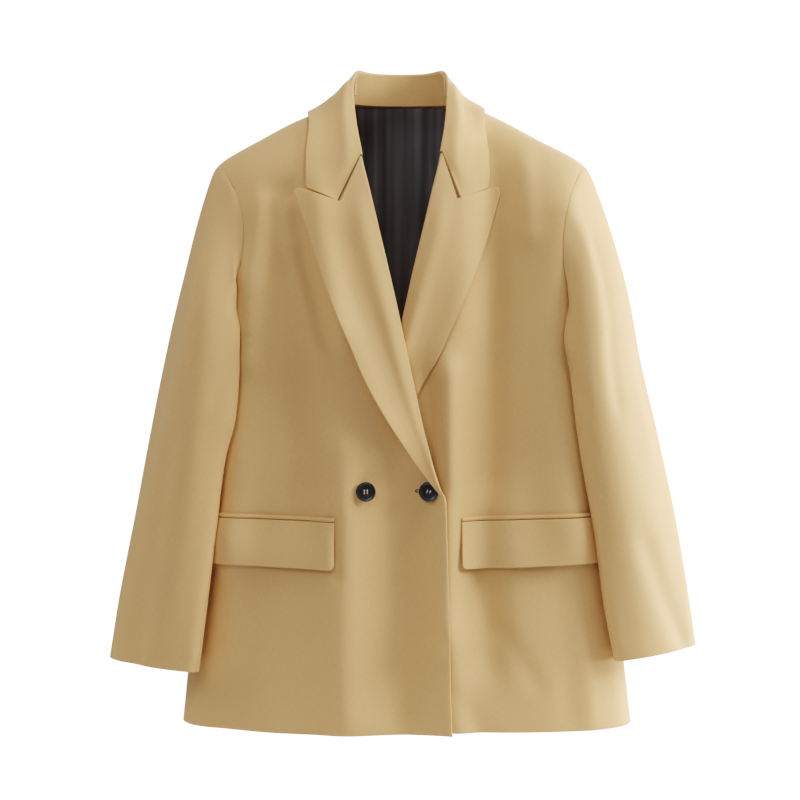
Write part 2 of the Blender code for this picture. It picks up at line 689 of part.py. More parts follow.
def make_pockets():
    for name, side in (("right", -1), ("left", 1)):
        wall("flap_" + name, flap_grid(name, side, FLAP_LIFT + FLAP_THICKNESS),
             flap_grid(name, side, FLAP_LIFT))
        wall("welt_" + name, welt_grid(name, side, WELT_LIFT + WELT_THICKNESS),
             welt_grid(name, side, WELT_LIFT))


# ---------------------------------------------------------------- buttons
def button_profile():
    """Radius and height of the turned outline, from the middle of the face to the back."""
    flat = BUTTON_RADIUS - BUTTON_RIM
    top, low = BUTTON_HEIGHT, BUTTON_HEIGHT - BUTTON_DISH
    return ((0.0, low), (flat - 1.2, low), (flat, low + 0.5), (flat + 0.6, top),
            (BUTTON_RADIUS - 0.6, top), (BUTTON_RADIUS, top - 0.8), (BUTTON_RADIUS, 0.8),
            (BUTTON_RADIUS - 1.0, 0.0), (0.0, 0.0))


def button_seat(x):
    """Place and facing of a button whose back clears the right front by a seam's gap."""
    panel = bmesh.new()
    panel.from_mesh(bpy.data.objects["front_right"].data)
    tree = BVHTree.FromBMesh(panel)
    panel.free()
    facing = Vector(front_point(x, BUTTON_Z, 1.0, True) - front_point(x, BUTTON_Z, 0.0, True))
    marks = [(0.0, 0.0)] + [(math.cos(turn), math.sin(turn)) for turn in np.linspace(0, 5.5, 8)]
    hits = []
    for across, up in marks:
        start = Vector((x + BUTTON_RADIUS * across, -200.0, BUTTON_Z + BUTTON_RADIUS * up)) * MM
        hit = tree.ray_cast(start, Vector((0, 1, 0)))[0]
        if hit is not None:
            hits.append(hit)
    stand_off = max((hit - hits[0]).dot(facing) for hit in hits) + SEAM_GAP * MM
    return hits[0] + facing * stand_off, facing


def make_button(name, x):
    shape = bmesh.new()
    line = [shape.verts.new((radius * MM, 0.0, height * MM)) for radius, height in button_profile()]
    edges = [shape.edges.new(pair) for pair in zip(line, line[1:])]
    bmesh.ops.spin(shape, geom=line + edges, axis=(0, 0, 1), cent=(0, 0, 0), steps=28,
                   angle=2 * math.pi, use_duplicate=False)
    bmesh.ops.remove_doubles(shape, verts=shape.verts, dist=0.00001)
    bmesh.ops.recalc_face_normals(shape, faces=shape.faces)
    mesh = bpy.data.meshes.new(name)
    shape.to_mesh(mesh)
    shape.free()
    button = bpy.data.objects.new(name, mesh)
    bpy.context.scene.collection.objects.link(button)
    mesh.materials.append(cloth_material(name, BUTTON_COLOUR, 0.35))

    holes = bmesh.new()
    for turn in range(4):
        angle = math.pi / 4 + turn * math.pi / 2
        made = bmesh.ops.create_cone(holes, cap_ends=True, segments=10, radius1=BUTTON_HOLE_RADIUS * MM,
                                     radius2=BUTTON_HOLE_RADIUS * MM, depth=3 * BUTTON_HEIGHT * MM)
        move = (BUTTON_HOLE_SPACING * math.cos(angle) * MM, BUTTON_HOLE_SPACING * math.sin(angle) * MM, 0)
        bmesh.ops.translate(holes, verts=made["verts"], vec=move)
    cutter_mesh = bpy.data.meshes.new(name + "_holes")
    holes.to_mesh(cutter_mesh)
    holes.free()
    cutter = bpy.data.objects.new(name + "_holes", cutter_mesh)
    bpy.context.scene.collection.objects.link(cutter)
    cutter.hide_render = True
    cutter.display_type = "WIRE"
    cutter.parent = button
    cut = button.modifiers.new("holes", "BOOLEAN")
    cut.operation = "DIFFERENCE"
    cut.solver = "EXACT"
    cut.object = cutter

    seat, facing = button_seat(x)
    button.location = seat
    button.rotation_mode = "QUATERNION"
    button.rotation_quaternion = Vector((0, 0, 1)).rotation_difference(facing)
    mesh.shade_smooth()
    mesh.set_sharp_from_angle(angle=math.radians(40))


def make_buttons():
    for name, x in BUTTON_X.items():
        make_button(name, x)


def main():
    for thing in list(bpy.data.objects):
        bpy.data.objects.remove(thing, do_unlink=True)
    make_fronts()
    make_back()
    make_back_lining()
    make_sleeves()
    make_lapels()
    make_collar_fall()
    make_collar_stand()
    make_pockets()
    make_buttons()


main()
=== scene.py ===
"""Finished look of a hollow double breasted blazer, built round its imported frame.

The front faces -Y, +X is the wearer's left and +Z is up, and the origin is the middle of the neck.
Sizes are in millimetres and become metres where the meshes are made. Right and left are the
wearer's.
"""
import math

import bmesh
import bpy
import numpy as np
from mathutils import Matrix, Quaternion, Vector


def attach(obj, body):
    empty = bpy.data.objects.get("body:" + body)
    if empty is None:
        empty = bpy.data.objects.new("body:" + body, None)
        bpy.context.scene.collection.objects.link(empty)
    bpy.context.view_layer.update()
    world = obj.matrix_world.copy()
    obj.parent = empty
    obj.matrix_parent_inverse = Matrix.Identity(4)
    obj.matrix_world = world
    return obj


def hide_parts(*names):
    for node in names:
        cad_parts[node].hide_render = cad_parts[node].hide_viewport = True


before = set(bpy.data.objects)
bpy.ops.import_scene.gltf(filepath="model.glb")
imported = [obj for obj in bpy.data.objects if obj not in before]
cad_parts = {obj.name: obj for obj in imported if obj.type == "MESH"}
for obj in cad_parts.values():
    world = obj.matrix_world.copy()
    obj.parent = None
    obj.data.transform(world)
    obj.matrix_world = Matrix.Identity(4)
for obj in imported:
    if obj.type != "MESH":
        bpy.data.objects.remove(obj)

bl_info = {
    "name": "Double breasted blazer",
    "version": (1, 0, 0),
    "blender": (4, 5, 0),
    "location": "View3D > Sidebar > Blazer",
    "description": "Builds the cut pieces, buttons and stage of a hollow double breasted blazer",
    "category": "Add Mesh",
}

MM = 0.001
TINY = 1e-6                 # less than any size that is modelled, in metres
LEVEL = np.array((1.0, 1.0, 0.0))    # leaves only the level part of a vector
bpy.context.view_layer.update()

# ---------------------------------------------------------------- the cut, in millimetres
LINING_GAP = 0.5            # between the back panel and its lining
FACING_LIFT = 1.9           # underside of a lapel or collar above the panel it lies on
LAPEL_SPRING = {"right": 14.0, "left": 3.0}    # how far a lapel's free edge stands off at most
LAP_LIFT = 7.6              # of the right front over the left one at the break
LAP_LIFT_HEM = 4.2          # and at the hem
SQUARENESS = 2.4            # exponent of the back half's super-ellipse section, 2 is an ellipse
SEAM_GAP = -0.2             # between two pieces that are sewn together: their rims press together
SLOPE_STEP = 0.5            # each way, over which a slope is measured
CLEARING = (2.0, 0.0, 0.0, 0.0)    # softness of each pass that moves cloth clear of the body

NECK_HEIGHT = 18.7
SHOULDER_HEIGHT = -64.0
UNDERARM_HEIGHT = -240.0
BREAK_HEIGHT = -460.0       # where the fronts start to turn back as lapels
LAPEL_END = -456.0          # lowest point of a lapel
HEM_HEIGHT = -731.0
HEM_SIDE_RISE = 2.0         # of the hem at the side seams
HEM_RISE_LEFT = 4.0         # of the left front's hem under the lap
HEM_RISE_SHARE = 1.4        # a front's width over the width in which that rise fades out
HEM_RISE_HEIGHT = 120.0     # how far up the panels the hem's rises fade out
FRONT_ROW_BEND = 1.2        # powers by which the panels' rows curve
BACK_ROW_BEND = 1.5
ROW_TURNS = (-300.0, -50.0)    # heights in a panel's middle of the rows from the armhole's ends
EDGE_SET_BACK = 1.2         # of a front's edge behind the roll of its lapel
EDGE_CLOTH = 1.2            # more cloth at a front's edge below the break
EDGE_REACH = 9.0            # how far in from the edge that thickness fades

FLAP_DEPTH = 54.0
FLAP_REACH = {"right": (76.0, 221.0), "left": (70.5, 226.0)}    # its ends' distance from the centre
FLAP_TOP_Z = -486.0         # height of the pocket's mouth at its inner end
FLAP_TILT = 0.035           # rise of the mouth for each millimetre outwards
FLAP_CORNER = 7.0           # length of edge that a flap's round corner takes up
FLAP_LIFT = 1.1             # underside of a flap above the front
FLAP_PUFF = 2.4             # fullness of a flap between its edges
FLAP_PUFF_REACH = 12.0      # how far in from a flap's ends that builds up
FLAP_HANG = 4.5             # how far a flap's lower edge stands off
WELT_WIDTH = 5.0            # rounded part above the pocket's mouth
WELT_LIFT = 1.1
WELT_ROUND = 0.5            # height of the rounding
WELT_TUCK = 5.0             # of the welt goes in under the flap
WELT_TUCK_CLOTH = 0.7       # its thickness there
WELT_TUCK_LIFT = 0.25       # its underside above the front there
WELT_GAP = 0.6              # between the flap's top edge and the rounded part

BUTTON_Z = -450.0
BUTTON_X = {"button_show": -40.0, "button_closing": 31.5}
BUTTON_TURN = {"button_show": 0.0, "button_closing": math.radians(-8)}
BUTTON_GAP = 0.3            # between a button's back and the front
BUTTONHOLE_X = 29.5
BUTTONHOLE_LENGTH = 27.0

# ---------------------------------------------------------------- the stage, in metres
MIDDLE = (0.0, 0.0, -0.35)
CAMERA_PLACE = (-0.0012, -2.0, -0.3456)
CAMERA_LENS = 75.0          # in millimetres, on a film 36 mm wide
FLOOR_Z = -1.1
FLOOR_RADIUS = 0.95
FLOOR_HEIGHT = 0.01
# the soft shoulder of a film: light and how bright it shows, with the light that shows as white
FILM_CURVE = ((0.031, 0.015), (0.1, 0.082), (0.211, 0.211), (0.412, 0.399), (0.65, 0.548),
              (0.974, 0.677), (1.241, 0.753), (1.602, 0.837), (2.092, 0.93))
FILM_WHITE = 3.0
WORLD_LIGHT = 0.1
# name, turn round the blazer from its front towards +X and height in degrees, size, power
LIGHTS = (
    ("front_softbox", -20, 25, 1.6, 24),
    ("key_softbox", 75, 25, 1.6, 92),
    ("side_softbox", 105, 0, 1.6, 165),
    ("left_softbox", -80, 30, 1.6, 24),
    ("back_left_softbox", -110, 0, 1.6, 14),
    ("high_softbox", 40, 60, 1.6, 40),
    ("rear_softbox", 180, 30, 2.5, 80),
)
LIGHT_DISTANCE = 3.3

# ---------------------------------------------------------------- the form, in millimetres

# height, half width, centre shift, depth of front, depth of back
BODY_SECTIONS = (
    (-731, 268, 6.6, 85, 95),
    (-675, 262, 6, 86, 96),
    (-600, 254, 5, 86, 97),
    (-530, 243, 4, 86, 97),
    (-450, 227, 3, 87, 96),
    (-370, 212, 2, 89, 96),
    (-300, 204, 1, 91, 100),
    (-240, 203, 0, 93, 106),
    (-200, 208, 0, 94, 108),
    (-150, 222, 0, 93, 108),
    (-110, 233, 0, 88, 104),
    (-84, 231, 0, 83, 100),
    (-64, 218, 0, 77, 97),
    (-27, 160, 0, 55, 88),
    (0, 109, 0, 30, 78),
    (18.7, 75, 0, 10, 65),
)
# height, exponent of the front half's section
FRONT_SECTION = (
    (-731, 2.6), (-640, 2.9), (-500, 3.6), (-420, 3.8), (-240, 3.6), (-160, 3.3), (-90, 2.7),
    (-40, 2.4), (18.7, 2.4),
)

SIDE_FADE = 0.3             # folds fade out next to the side seams
# place x and z, reach, how far the cloth has moved there in x and z
SETTLE = (
    (165, -35, 75, 0, -5), (-165, -35, 75, 0, -3.4),
    (88, 22, 34, -5, -3), (-100, 4, 24, 1.5, -3),
    (-54, 58, 14, 0, 3.5), (51, 58, 14, 0, 3.5),
    (104, -38, 30, -3.5, 0), (-108, -45, 30, 1.8, 0),
)

# height, distance of the front's free edge from the centre, positive on its own side
FRONT_EDGE = (
    (-731, -58), (-699, -57), (-602, -55), (-506, -52), (-460, -50),
    (-446, -44), (-396, -31), (-323, -15), (-253, 0), (-200, 12),
    (-146, 25), (-103, 35.5), (-60, 46), (-25, 51), (5, 55), (18.7, 70),
)

# height, distance of the armhole seam from the centre in front and at the back
ARMHOLE = (
    (-240, 203, 203), (-238.8, 201.8, 202.2), (-236, 198, 200.3), (-230.5, 192, 198),
    (-221, 186, 196.3), (-206, 181.7, 194.8), (-183, 180, 194.3), (-155, 180.8, 196.5),
    (-127, 185, 200.6), (-100, 194, 206.5), (-80, 206, 212.5), (-64, 218, 218),
)

# height, then the distance from the centre of the right and of the left lapel's outer edge
LAPEL_OUTER = (
    (-460, -50, -50), (-434, -29, -33), (-396, -3, -12), (-363, 18, 6),
    (-323, 40, 27), (-283, 57, 48), (-240, 75, 67.5), (-198, 91, 86),
    (-150, 107, 104), (-106, 123, 116),
)
# where lapel and collar meet: x and z of the lapel's peak, of the notch and of the collar's corner,
# height of the roll's top end, and how much higher that side of the collar's edge is
GORGE = {
    "right": dict(peak=(131, -98.5), notch=(73, -118.5), gorge_z=-62, corner=(108, -102),
                  collar_rise=0),
    "left": dict(peak=(124, -93.5), notch=(68, -115), gorge_z=-58, corner=(102.5, -98.5),
                 collar_rise=4.5),
}
NOTCH_SHARE = 0.4           # how far along the lapel's top edge the notch is
LAPEL_END_WIDTH = 1.2       # of a lapel at its lowest point
GORGE_GAP = 0.17            # between a lapel's top edge and the collar, each way
PEAK_DROP = 1.0             # of a lapel's top row under its peak, before the corner is rounded
PEAK_ROUND = 9.0            # length of edge that a round corner takes up
COLLAR_ROUND = 4.0
LAPEL_BELLY = 5.4           # fullness of a lapel and of the collar beside the roll
COLLAR_BELLY = 4.0
LAPEL_TIP_LIFT = 0.3        # underside of a lapel above the front at its lowest point
LAPEL_TIP_CLOTH = 1.6
LAPEL_TIP_REACH = 18.0

# folds of the front and of the back: start x and z, end x and z, half width, height
FRONT_FOLDS = (
    (-161, -120, -168, -300, 12, 6),
    (-148, -110, -142, -190, 15, -4), (-136, -210, -120, -330, 20, -4.5),
    (-118, -320, -112, -450, 22, -7),
    (-94, -122, -72, -260, 17, 7),
    (-60, -280, -22, -400, 26, 7),
    (-66, -410, -64, -700, 24, 12),
    (-2, -450, 2, -700, 26, -13),
    (55, -320, 52, -610, 16, 14),
    (56, -610, 64, -731, 18, 8),
    (104, -60, 98, -430, 23, -17),
    (128, -60, 126, -400, 34, -9),
    (94, -490, 102, -640, 22, -11),
    (188, -130, 194, -480, 30, 16),
    (146, -60, 148, -150, 12, 4),
    (-205, -520, -210, -731, 50, -12),
)
BACK_FOLDS = (
    (-158, -110, -128, -330, 26, -5),
    (152, -120, 132, -310, 24, -4),
    (-60, -230, -78, -560, 34, 4),
    (12, -300, 22, -600, 38, -5),
    (96, -380, 118, -731, 30, 5),
    (-150, -480, -172, -731, 30, -4),
)
# finer creases, in the same columns
FRONT_CREASES = (
    (-127, -112, -123, -142, 13, -6),
    (-114, -182, -84, -275, 12, -8),
    (-180, -215, -197, -500, 26, 14),
    (-202, -500, -208, -640, 24, 8),
    (-75, -484, -73, -545, 6, -3),
    (-118, -440, -128, -476, 7, -0.9),
    (-92, -552, -84, -640, 20, 1),
    (-148, -600, -136, -690, 22, -1.4),
    (32, -330, 44, -448, 12, -6),
    (92, -566, 108, -612, 10, -2),
    (118, -612, 152, -668, 12, -2.4),
    (60, -682, 92, -726, 12, -1.5),
    (188, -560, 196, -700, 16, -1.6),
    (208, -610, 222, -731, 15, 1.6),
)
BACK_CREASES = (
    (-30, -40, -8, -120, 22, 1.4),
    (44, -34, 30, -96, 18, -1.2),
    (-182, -150, -170, -250, 9, -2),
    (184, -160, 172, -262, 9, -2.2),
    (-20, -330, 46, -372, 13, -1.5),
    (-96, -352, -18, -396, 12, 1.3),
    (60, -560, 44, -731, 17, -2.2),
    (-118, -600, -110, -731, 18, 2.2),
    (168, -470, 186, -660, 16, 2),
)
LINING_FOLDS = (
    (-14, -10, -22, -330, 9, -2.4),
    (14, -40, 20, -360, 8, -2.6),
    (-40, -60, -52, -380, 12, -2.8),
    (46, -30, 60, -420, 13, -2.8),
    (-2, -300, 6, -660, 16, -3),
)
PLEAT_X = 3.0               # edge of the pleat in the middle of the back lining
PLEAT_DEPTH = 2.6
PLEAT_WIDTH = 11.0
PLEAT_SHARPNESS = 0.7       # width over which the pleat's edge turns

# sleeve rings down the arm: centre height, distance out, distance forward; then the reach of the
# outer edge (out, back, up) and of the front edge (forward, in)
SLEEVE_RINGS = {
    "right": (
        (-240, 226, 25, 34.5, 4, 29, 77, 8),
        (-316, 238, 35, 42, 8, 16, 72, 9),
        (-400, 251.5, 40, 46.5, 12, 8, 64, 9),
        (-500, 266.5, 39, 50.5, 15, 8.5, 55, 9),
        (-590, 281.5, 36, 54, 18, 7.5, 46, 9),
        (-657, 291.5, 34, 55.5, 20, 4.5, 36, 10),
    ),
    "left": (
        (-240, 229, 22, 39, 4, 29, 76, 14),
        (-316, 241.5, 32, 42, 8, 16, 71, 18),
        (-400, 257.5, 38, 47, 12, 8, 63, 18),
        (-500, 277, 37, 49, 15, 8.5, 54, 16),
        (-585, 290, 35, 51.5, 18, 7.5, 46, 13),
        (-643, 300, 34, 51, 20, 6, 36, 10),
    ),
}
ARMHOLE_GAP = -0.5          # between the armhole's edge and the sleeve
UNDERARM_GAP = 0.1          # added sideways under the arm
SLEEVE_FRONT_SEAM_Z = -236.0   # armhole height where the front seam of the sleeve starts
SLEEVE_BACK_SEAM_Z = -183.0    # armhole height where the back seam of the sleeve starts
SLEEVE_SEAM_TURN = -0.05    # degrees that each half's edge stands back from a sleeve seam
# station down the sleeve and how far its cloth keeps from the body there
SLEEVE_CLEARANCE = ((0, 0.4), (0.3, 1.6), (0.65, 2.4), (1, 3), (2, 3), (3, 4), (4, 6.5),
                    (6, 6.5))
HEAD_FREEDOM = 30.0         # how much nearer than that it may be above the underarm
EVENING = 70                # passes that even out how the sleeve is kept off the body
HEAD_RISE = 1.8             # fullness of the sleeve's head just outside the armhole seam
HEAD_REACH = 7.0            # where that fullness is greatest, along the sleeve from the seam
DEGREE = 1.05               # cloth round the arm for each degree of turn, on average
STATION = 88.0              # sleeve for each station, on average
# sleeve folds: start turn in degrees from the top towards the front and station, end turn and
# station, half width in mm, height in mm
SLEEVE_FOLDS = {
    "right": (
        (124, 0.1, 146, 2.4, 26, 9),
        (148, 0.7, 140, 5.6, 18, 5),
        (52, 0.5, 60, 2.2, 9, 1.6), (30, 0.6, 34, 2.6, 12, -1.6),
        (64, 3, 58, 5.9, 15, -3), (20, 4.2, 26, 5.6, 14, 1.8),
        (300, 1.2, 280, 2.6, 14, -2.4), (250, 2, 236, 2.7, 10, 2),
        (330, 3, 318, 5, 16, -2.2), (150, 1.2, 120, 2.2, 10, -2),
    ),
    "left": (
        (128, 0.12, 142, 1.2, 22, 4),
        (148, 0.7, 140, 5.6, 18, 3.5),
        (56, 0.6, 66, 2.4, 11, -2), (28, 0.8, 32, 3, 13, 1.8),
        (66, 4.3, 40, 5.8, 16, -3.2), (12, 3.6, 18, 5.6, 14, 1.6),
        (292, 1.3, 276, 2.7, 14, -2.4), (244, 2.1, 232, 2.8, 10, 2),
        (326, 3.2, 312, 5.2, 16, -2.2), (150, 1.2, 120, 2.2, 10, -2),
    ),
}

# collar stations from the gorge to the middle of the back:
# fold x, y, z; middle of the fall x, y, z; outer edge as an angle round the body and a height
COLLAR_STATIONS = (
    (51, -55, -24, 80, -62, -42, 30.4, -56),
    (54.5, -30, 6, 82, -36, -9, 41.6, -24),
    (55, -8, 32, 79, -3, 20.5, 90, 0),
    (52, 22, 50, 75, 32, 25, 122, 2),
    (39, 47, 54.5, 53, 60, 33, 145, 3),
    (18, 58, 56, 22, 71, 34, 165, 3),
    (0, 60, 56, 0, 73.5, 34, 180, 3),
)
# stand stations: top x, y, z; lower edge x, y, z
STAND_STATIONS = (
    (55.2, -20, 17.2, 59.2, -14.5, 14.8),
    (54.4, -7, 31, 70, -1, 18.2),
    (51.4, 21.7, 49, 67, 26.6, 17.2),
    (38.5, 46.2, 53.5, 48.6, 49.6, 16.8),
    (17.7, 57, 55, 21.4, 59.6, 16.8),
    (0, 59, 55, 0, 61, 16.8),
)

ROLL_RADIUS = 2.4           # of the rounded fold at a lapel's roll line
ROLL_TURN = math.radians(150)    # how far round that fold the cloth is drawn
# points inside the neck that the collar and its stand face away from
COLLAR_MIDDLE = np.array((0, 10, -60))
STAND_MIDDLE = np.array((0, 15, 35))

# rims round a cut edge: how far out as a share of the radius, how deep as a share of the cloth
RIM_SINGLE = ((0.5, 0.067), (0.87, 0.25), (1, 0.5), (0.87, 0.75), (0.5, 0.933))
RIM_PAIR = ((0.6, 0.05), (0.93, 0.14), (1, 0.26), (0.8, 0.38), (0.3, 0.47), (0.1, 0.5),
            (0.3, 0.53), (0.8, 0.62), (1, 0.74), (0.93, 0.86), (0.6, 0.95))


# ---------------------------------------------------------------- what a user may change
def linear(hex_colour):
    """The linear colour of an sRGB hex value such as "C4A36E"."""
    parts = [int(hex_colour[k:k + 2], 16) / 255 for k in (0, 2, 4)]
    return (*(p / 12.92 if p <= 0.04045 else ((p + 0.055) / 1.055) ** 2.4 for p in parts), 1.0)


def length(name, description, millimetres):
    """A length that a user may change."""
    return bpy.props.FloatProperty(name=name, description=description, default=millimetres * MM,
                                   min=0.0, precision=5, unit="LENGTH")


def colour(name, description, hex_colour):
    """A colour that a user may change."""
    return bpy.props.FloatVectorProperty(name=name, description=description, subtype="COLOR",
                                         size=4, min=0.0, max=1.0, default=linear(hex_colour))


class BlazerSizes(bpy.types.PropertyGroup):
    """Thicknesses of the cloth and sizes of the buttons."""
    panel: length("Panel cloth", "Wall of the fronts, back, sleeves and collar stand", 2.0)
    facing: length("Facing cloth", "Lapels and collar, two layers and a canvas", 2.6)
    flap: length("Flap cloth", "Pocket flaps, two layers", 2.4)
    welt: length("Welt cloth", "Welts over the pocket mouths, folded once", 1.8)
    lining: length("Lining cloth", "Lining of the back", 1.0)
    button_width: length("Button width", "Diameter of a button", 22.4)
    button_height: length("Button height", "Thickness of a button at its rim", 3.0)
    button_rim: length("Button rim", "Width of a button's raised rim", 2.0)
    button_dish: length("Button dish", "Depth of a button's face under its rim", 0.9)
    hole_width: length("Hole width", "Diameter of a button's holes", 2.2)
    hole_spacing: length("Hole spacing", "Between the centres of neighbouring holes", 3.4)
    thread_width: length("Thread width", "Diameter of the thread that sews a button on", 0.5)


class BlazerColours(bpy.types.PropertyGroup):
    """Colours of the cloth, the buttons and the stage."""
    cloth_light: colour("Cloth, light threads", "Lightest threads of the suiting", "E4BB87")
    cloth_shade: colour("Cloth, dark threads", "Darkest threads of the suiting", "DAB07A")
    cloth_warm: colour("Cloth, warm", "Warmer patches of the suiting", "E0B681")
    cloth_cool: colour("Cloth, cool", "Cooler patches of the suiting", "DDB585")
    cloth_sheen: colour("Cloth, sheen", "Fibre ends that catch the light", "F2E3C4")
    # the lining is drawn in its shaded colour, with streaks of painted highlight in the paler
    # colour below
    lining: colour("Lining", "Lining in shade", "5A5A60")
    lining_painted_highlight: colour("Lining, shine", "Lining on the crest of a fold", "8A8A91")
    button: colour("Button", "Resin of the buttons", "2A2A2E")
    # the stitches are drawn pale grey: partly the thread's colour, partly a painted highlight for
    # the glints on it
    button_cloud: colour("Button, cloud", "Paler clouds in the resin", "3A3A40")
    button_thread: colour("Button thread", "Thread in the buttons' holes", "C9C6C8")
    hole_thread: colour("Buttonhole thread", "Thread round the buttonhole", "7A5A3C")
    floor: colour("Floor", "Paint of the studio's floor", "EFEFED")


def sizes():
    """The sizes that a user may have changed."""
    return bpy.context.scene.blazer_sizes


def cloth(kind):
    """Thickness of one kind of cloth in millimetres."""
    return getattr(sizes(), kind) / MM


# ---------------------------------------------------------------- curves
class Curve:
    """A smooth curve through a table's columns, with no overshoot between its knots."""

    def __init__(self, knots, values):
        self.knots = np.asarray(knots, float)
        self.values = np.asarray(values, float)
        self.steps = np.diff(self.knots)
        slopes = np.diff(self.values) / self.steps
        before, after = self.steps[:-1], self.steps[1:]
        mean = (slopes[:-1] * after + slopes[1:] * before) / (before + after)
        # at a knot the curve is at most 2.5 times as steep as on the gentler side of it
        limit = 2.5 * np.minimum(abs(slopes[:-1]), abs(slopes[1:]))
        gentle = np.copysign(np.minimum(abs(mean), limit), mean)
        inner = np.where(slopes[:-1] * slopes[1:] > 0, gentle, 0.0)
        self.tangents = np.concatenate((slopes[:1], inner, slopes[-1:]))

    def __call__(self, at):
        at = np.clip(at, self.knots[0], self.knots[-1])
        k = np.clip(np.searchsorted(self.knots, at, side="right") - 1, 0, len(self.steps) - 1)
        step = self.steps[k]
        u = (at - self.knots[k]) / step
        values, tangents = self.values, self.tangents
        start = (1 + 2 * u) * (1 - u) ** 2 * values[k] + u * (1 - u) ** 2 * step * tangents[k]
        end = u * u * (3 - 2 * u) * values[k + 1] + u * u * (u - 1) * step * tangents[k + 1]
        return start + end


def table_curves(table):
    """One curve for each column of a table but the first, which holds the knots."""
    columns = list(zip(*table))
    return [Curve(columns[0], values) for values in columns[1:]]


HALF_WIDTH, SHIFT, FRONT_DEPTH, BACK_DEPTH = table_curves(BODY_SECTIONS)
FRONT_SQUARENESS, = table_curves(FRONT_SECTION)
EDGE_X, = table_curves(FRONT_EDGE)
ARMHOLE_FRONT, ARMHOLE_REAR = table_curves(ARMHOLE)
LAPEL_EDGE = dict(zip(("right", "left"), table_curves(LAPEL_OUTER)))
CLEARANCE_AT, = table_curves(SLEEVE_CLEARANCE)


def ease(x):
    """Smooth step: 0 up to 0 and 1 from 1 on."""
    x = np.clip(x, 0.0, 1.0)
    return x * x * (3 - 2 * x)


def ramp(x, start, end):
    """Smooth step from 0 at start to 1 at end."""
    return ease((x - start) / (end - start))


def crowded(count, power):
    """Shares from 0 to 1 that lie closer together near both ends."""
    s = np.linspace(0.0, 1.0, count)
    return s ** power / (s ** power + (1 - s) ** power)


def unit(vectors):
    """The vectors, made one long."""
    return vectors / np.linalg.norm(vectors, axis=-1, keepdims=True)


def points_of(*parts):
    """Points from their x, y and z, each an array or a number."""
    return np.stack(np.broadcast_arrays(*parts), axis=-1).astype(float)


def curve_through(points, start_tangent, stations):
    """Points at the stations (0 is the first point, 1 the second) of smooth curves.

    points is (knots, curves, 3), start_tangent (curves, 3), the result (stations, curves, 3)."""
    chords = np.linalg.norm(np.diff(points, axis=0), axis=2, keepdims=True)
    ways = np.diff(points, axis=0) / chords
    middle = unit(ways[:-1] * chords[1:] + ways[1:] * chords[:-1])
    tangents = np.concatenate((start_tangent[None], middle, ways[-1:]))
    k = np.clip(np.asarray(stations).astype(int), 0, len(points) - 2)
    u = (np.asarray(stations) - k)[:, None, None]
    return ((1 + 2 * u) * (1 - u) ** 2 * points[k] + u * u * (3 - 2 * u) * points[k + 1]
            + u * (1 - u) ** 2 * chords[k] * tangents[k]
            + u * u * (u - 1) * chords[k] * tangents[k + 1])


# ---------------------------------------------------------------- the body's surface
def squareness(z, before):
    """Power of the body's section: its front is flatter than its back between hem and shoulders."""
    return np.where(before, FRONT_SQUARENESS(z), SQUARENESS)


def angle_at(x, z, behind=False):
    """Angle round the body, from the centre front towards +X, of the point at x."""
    across = np.clip((x - SHIFT(z)) / HALF_WIDTH(z), -1.0, 1.0)
    square = squareness(z, not behind)
    along = (1 - abs(across) ** square) ** (1 / square)
    return np.arctan2(across, -along if behind else along)


def soft_fold(x, z, run_x, run_z, width, height, tail):
    """Height at x and z of a fold from 0, 0 to run_x, run_z; its ends fade over tail widths."""
    run = math.hypot(run_x, run_z)
    along, aside = (x * run_x + z * run_z) / run, (x * run_z - z * run_x) / run
    past = np.maximum(np.maximum(-along, along - run), 0.0)
    return height * np.exp(-(aside / width) ** 2 - (past / (tail * width)) ** 2)


def fold_height(x, z, folds):
    """Summed height of straight soft folds at x and z."""
    total = np.zeros(np.broadcast(x, z).shape)
    for x0, z0, x1, z1, width, height in folds:
        total += soft_fold(x - x0, z - z0, x1 - x0, z1 - z0, width, height, 1.6)
    return total


def body_relief(x, z, before, creased=True):
    """Height of the body's folds: the front's where `before` holds, the back's elsewhere."""
    front = FRONT_FOLDS + (FRONT_CREASES if creased else ())
    back = BACK_FOLDS + (BACK_CREASES if creased else ())
    return np.where(before, fold_height(x, z, front), fold_height(x, z, back))


def lap_height(x, z):
    """How far the right front is lifted where it passes over the left one."""
    lift = LAP_LIFT_HEM + (LAP_LIFT - LAP_LIFT_HEM) * ramp(z, HEM_HEIGHT, BREAK_HEIGHT)
    return lift * (1 - ramp(z, -250.0, -140.0)) * ramp(x, -135.0, -65.0)


def slope_of(curve, z):
    """How a curve changes for each millimetre of height."""
    return (curve(z + SLOPE_STEP) - curve(z - SLOPE_STEP)) / (2 * SLOPE_STEP)


def body_point(angle, z, lift=0.0, lapped=False, creased=True, extra=()):
    """Points of the body's outer surface at an angle and a height, moved out by lift."""
    angle, z = np.broadcast_arrays(np.asarray(angle, float), np.asarray(z, float))
    half_width = HALF_WIDTH(z)
    s, c = np.sin(angle), np.cos(angle)
    before = c > 0
    depth = np.where(before, FRONT_DEPTH(z), BACK_DEPTH(z))
    square = squareness(z, before)
    reach = (abs(s) ** square + abs(c) ** square) ** (-1 / square)
    x, y = half_width * reach * s, -depth * reach * c
    widening = slope_of(HALF_WIDTH, z)
    deepening = np.where(before, slope_of(FRONT_DEPTH, z), slope_of(BACK_DEPTH, z))
    wide, deep = abs(x / half_width), abs(y / depth)
    normal = unit(points_of(
        np.copysign(wide ** (square - 1), x) / half_width,
        np.copysign(deep ** (square - 1), y) / depth,
        -(wide ** square) * widening / half_width - (deep ** square) * deepening / depth,
    ))
    x = x + SHIFT(z)
    relief = body_relief(x, z, before, creased) * ease(abs(c) / SIDE_FADE)
    relief = relief + fold_height(x, z, extra)
    if lapped:
        relief = relief + lap_height(x, z)
    return points_of(x, y, z) + unit(normal * LEVEL) * relief[..., None] \
        + normal * np.asarray(lift)[..., None]


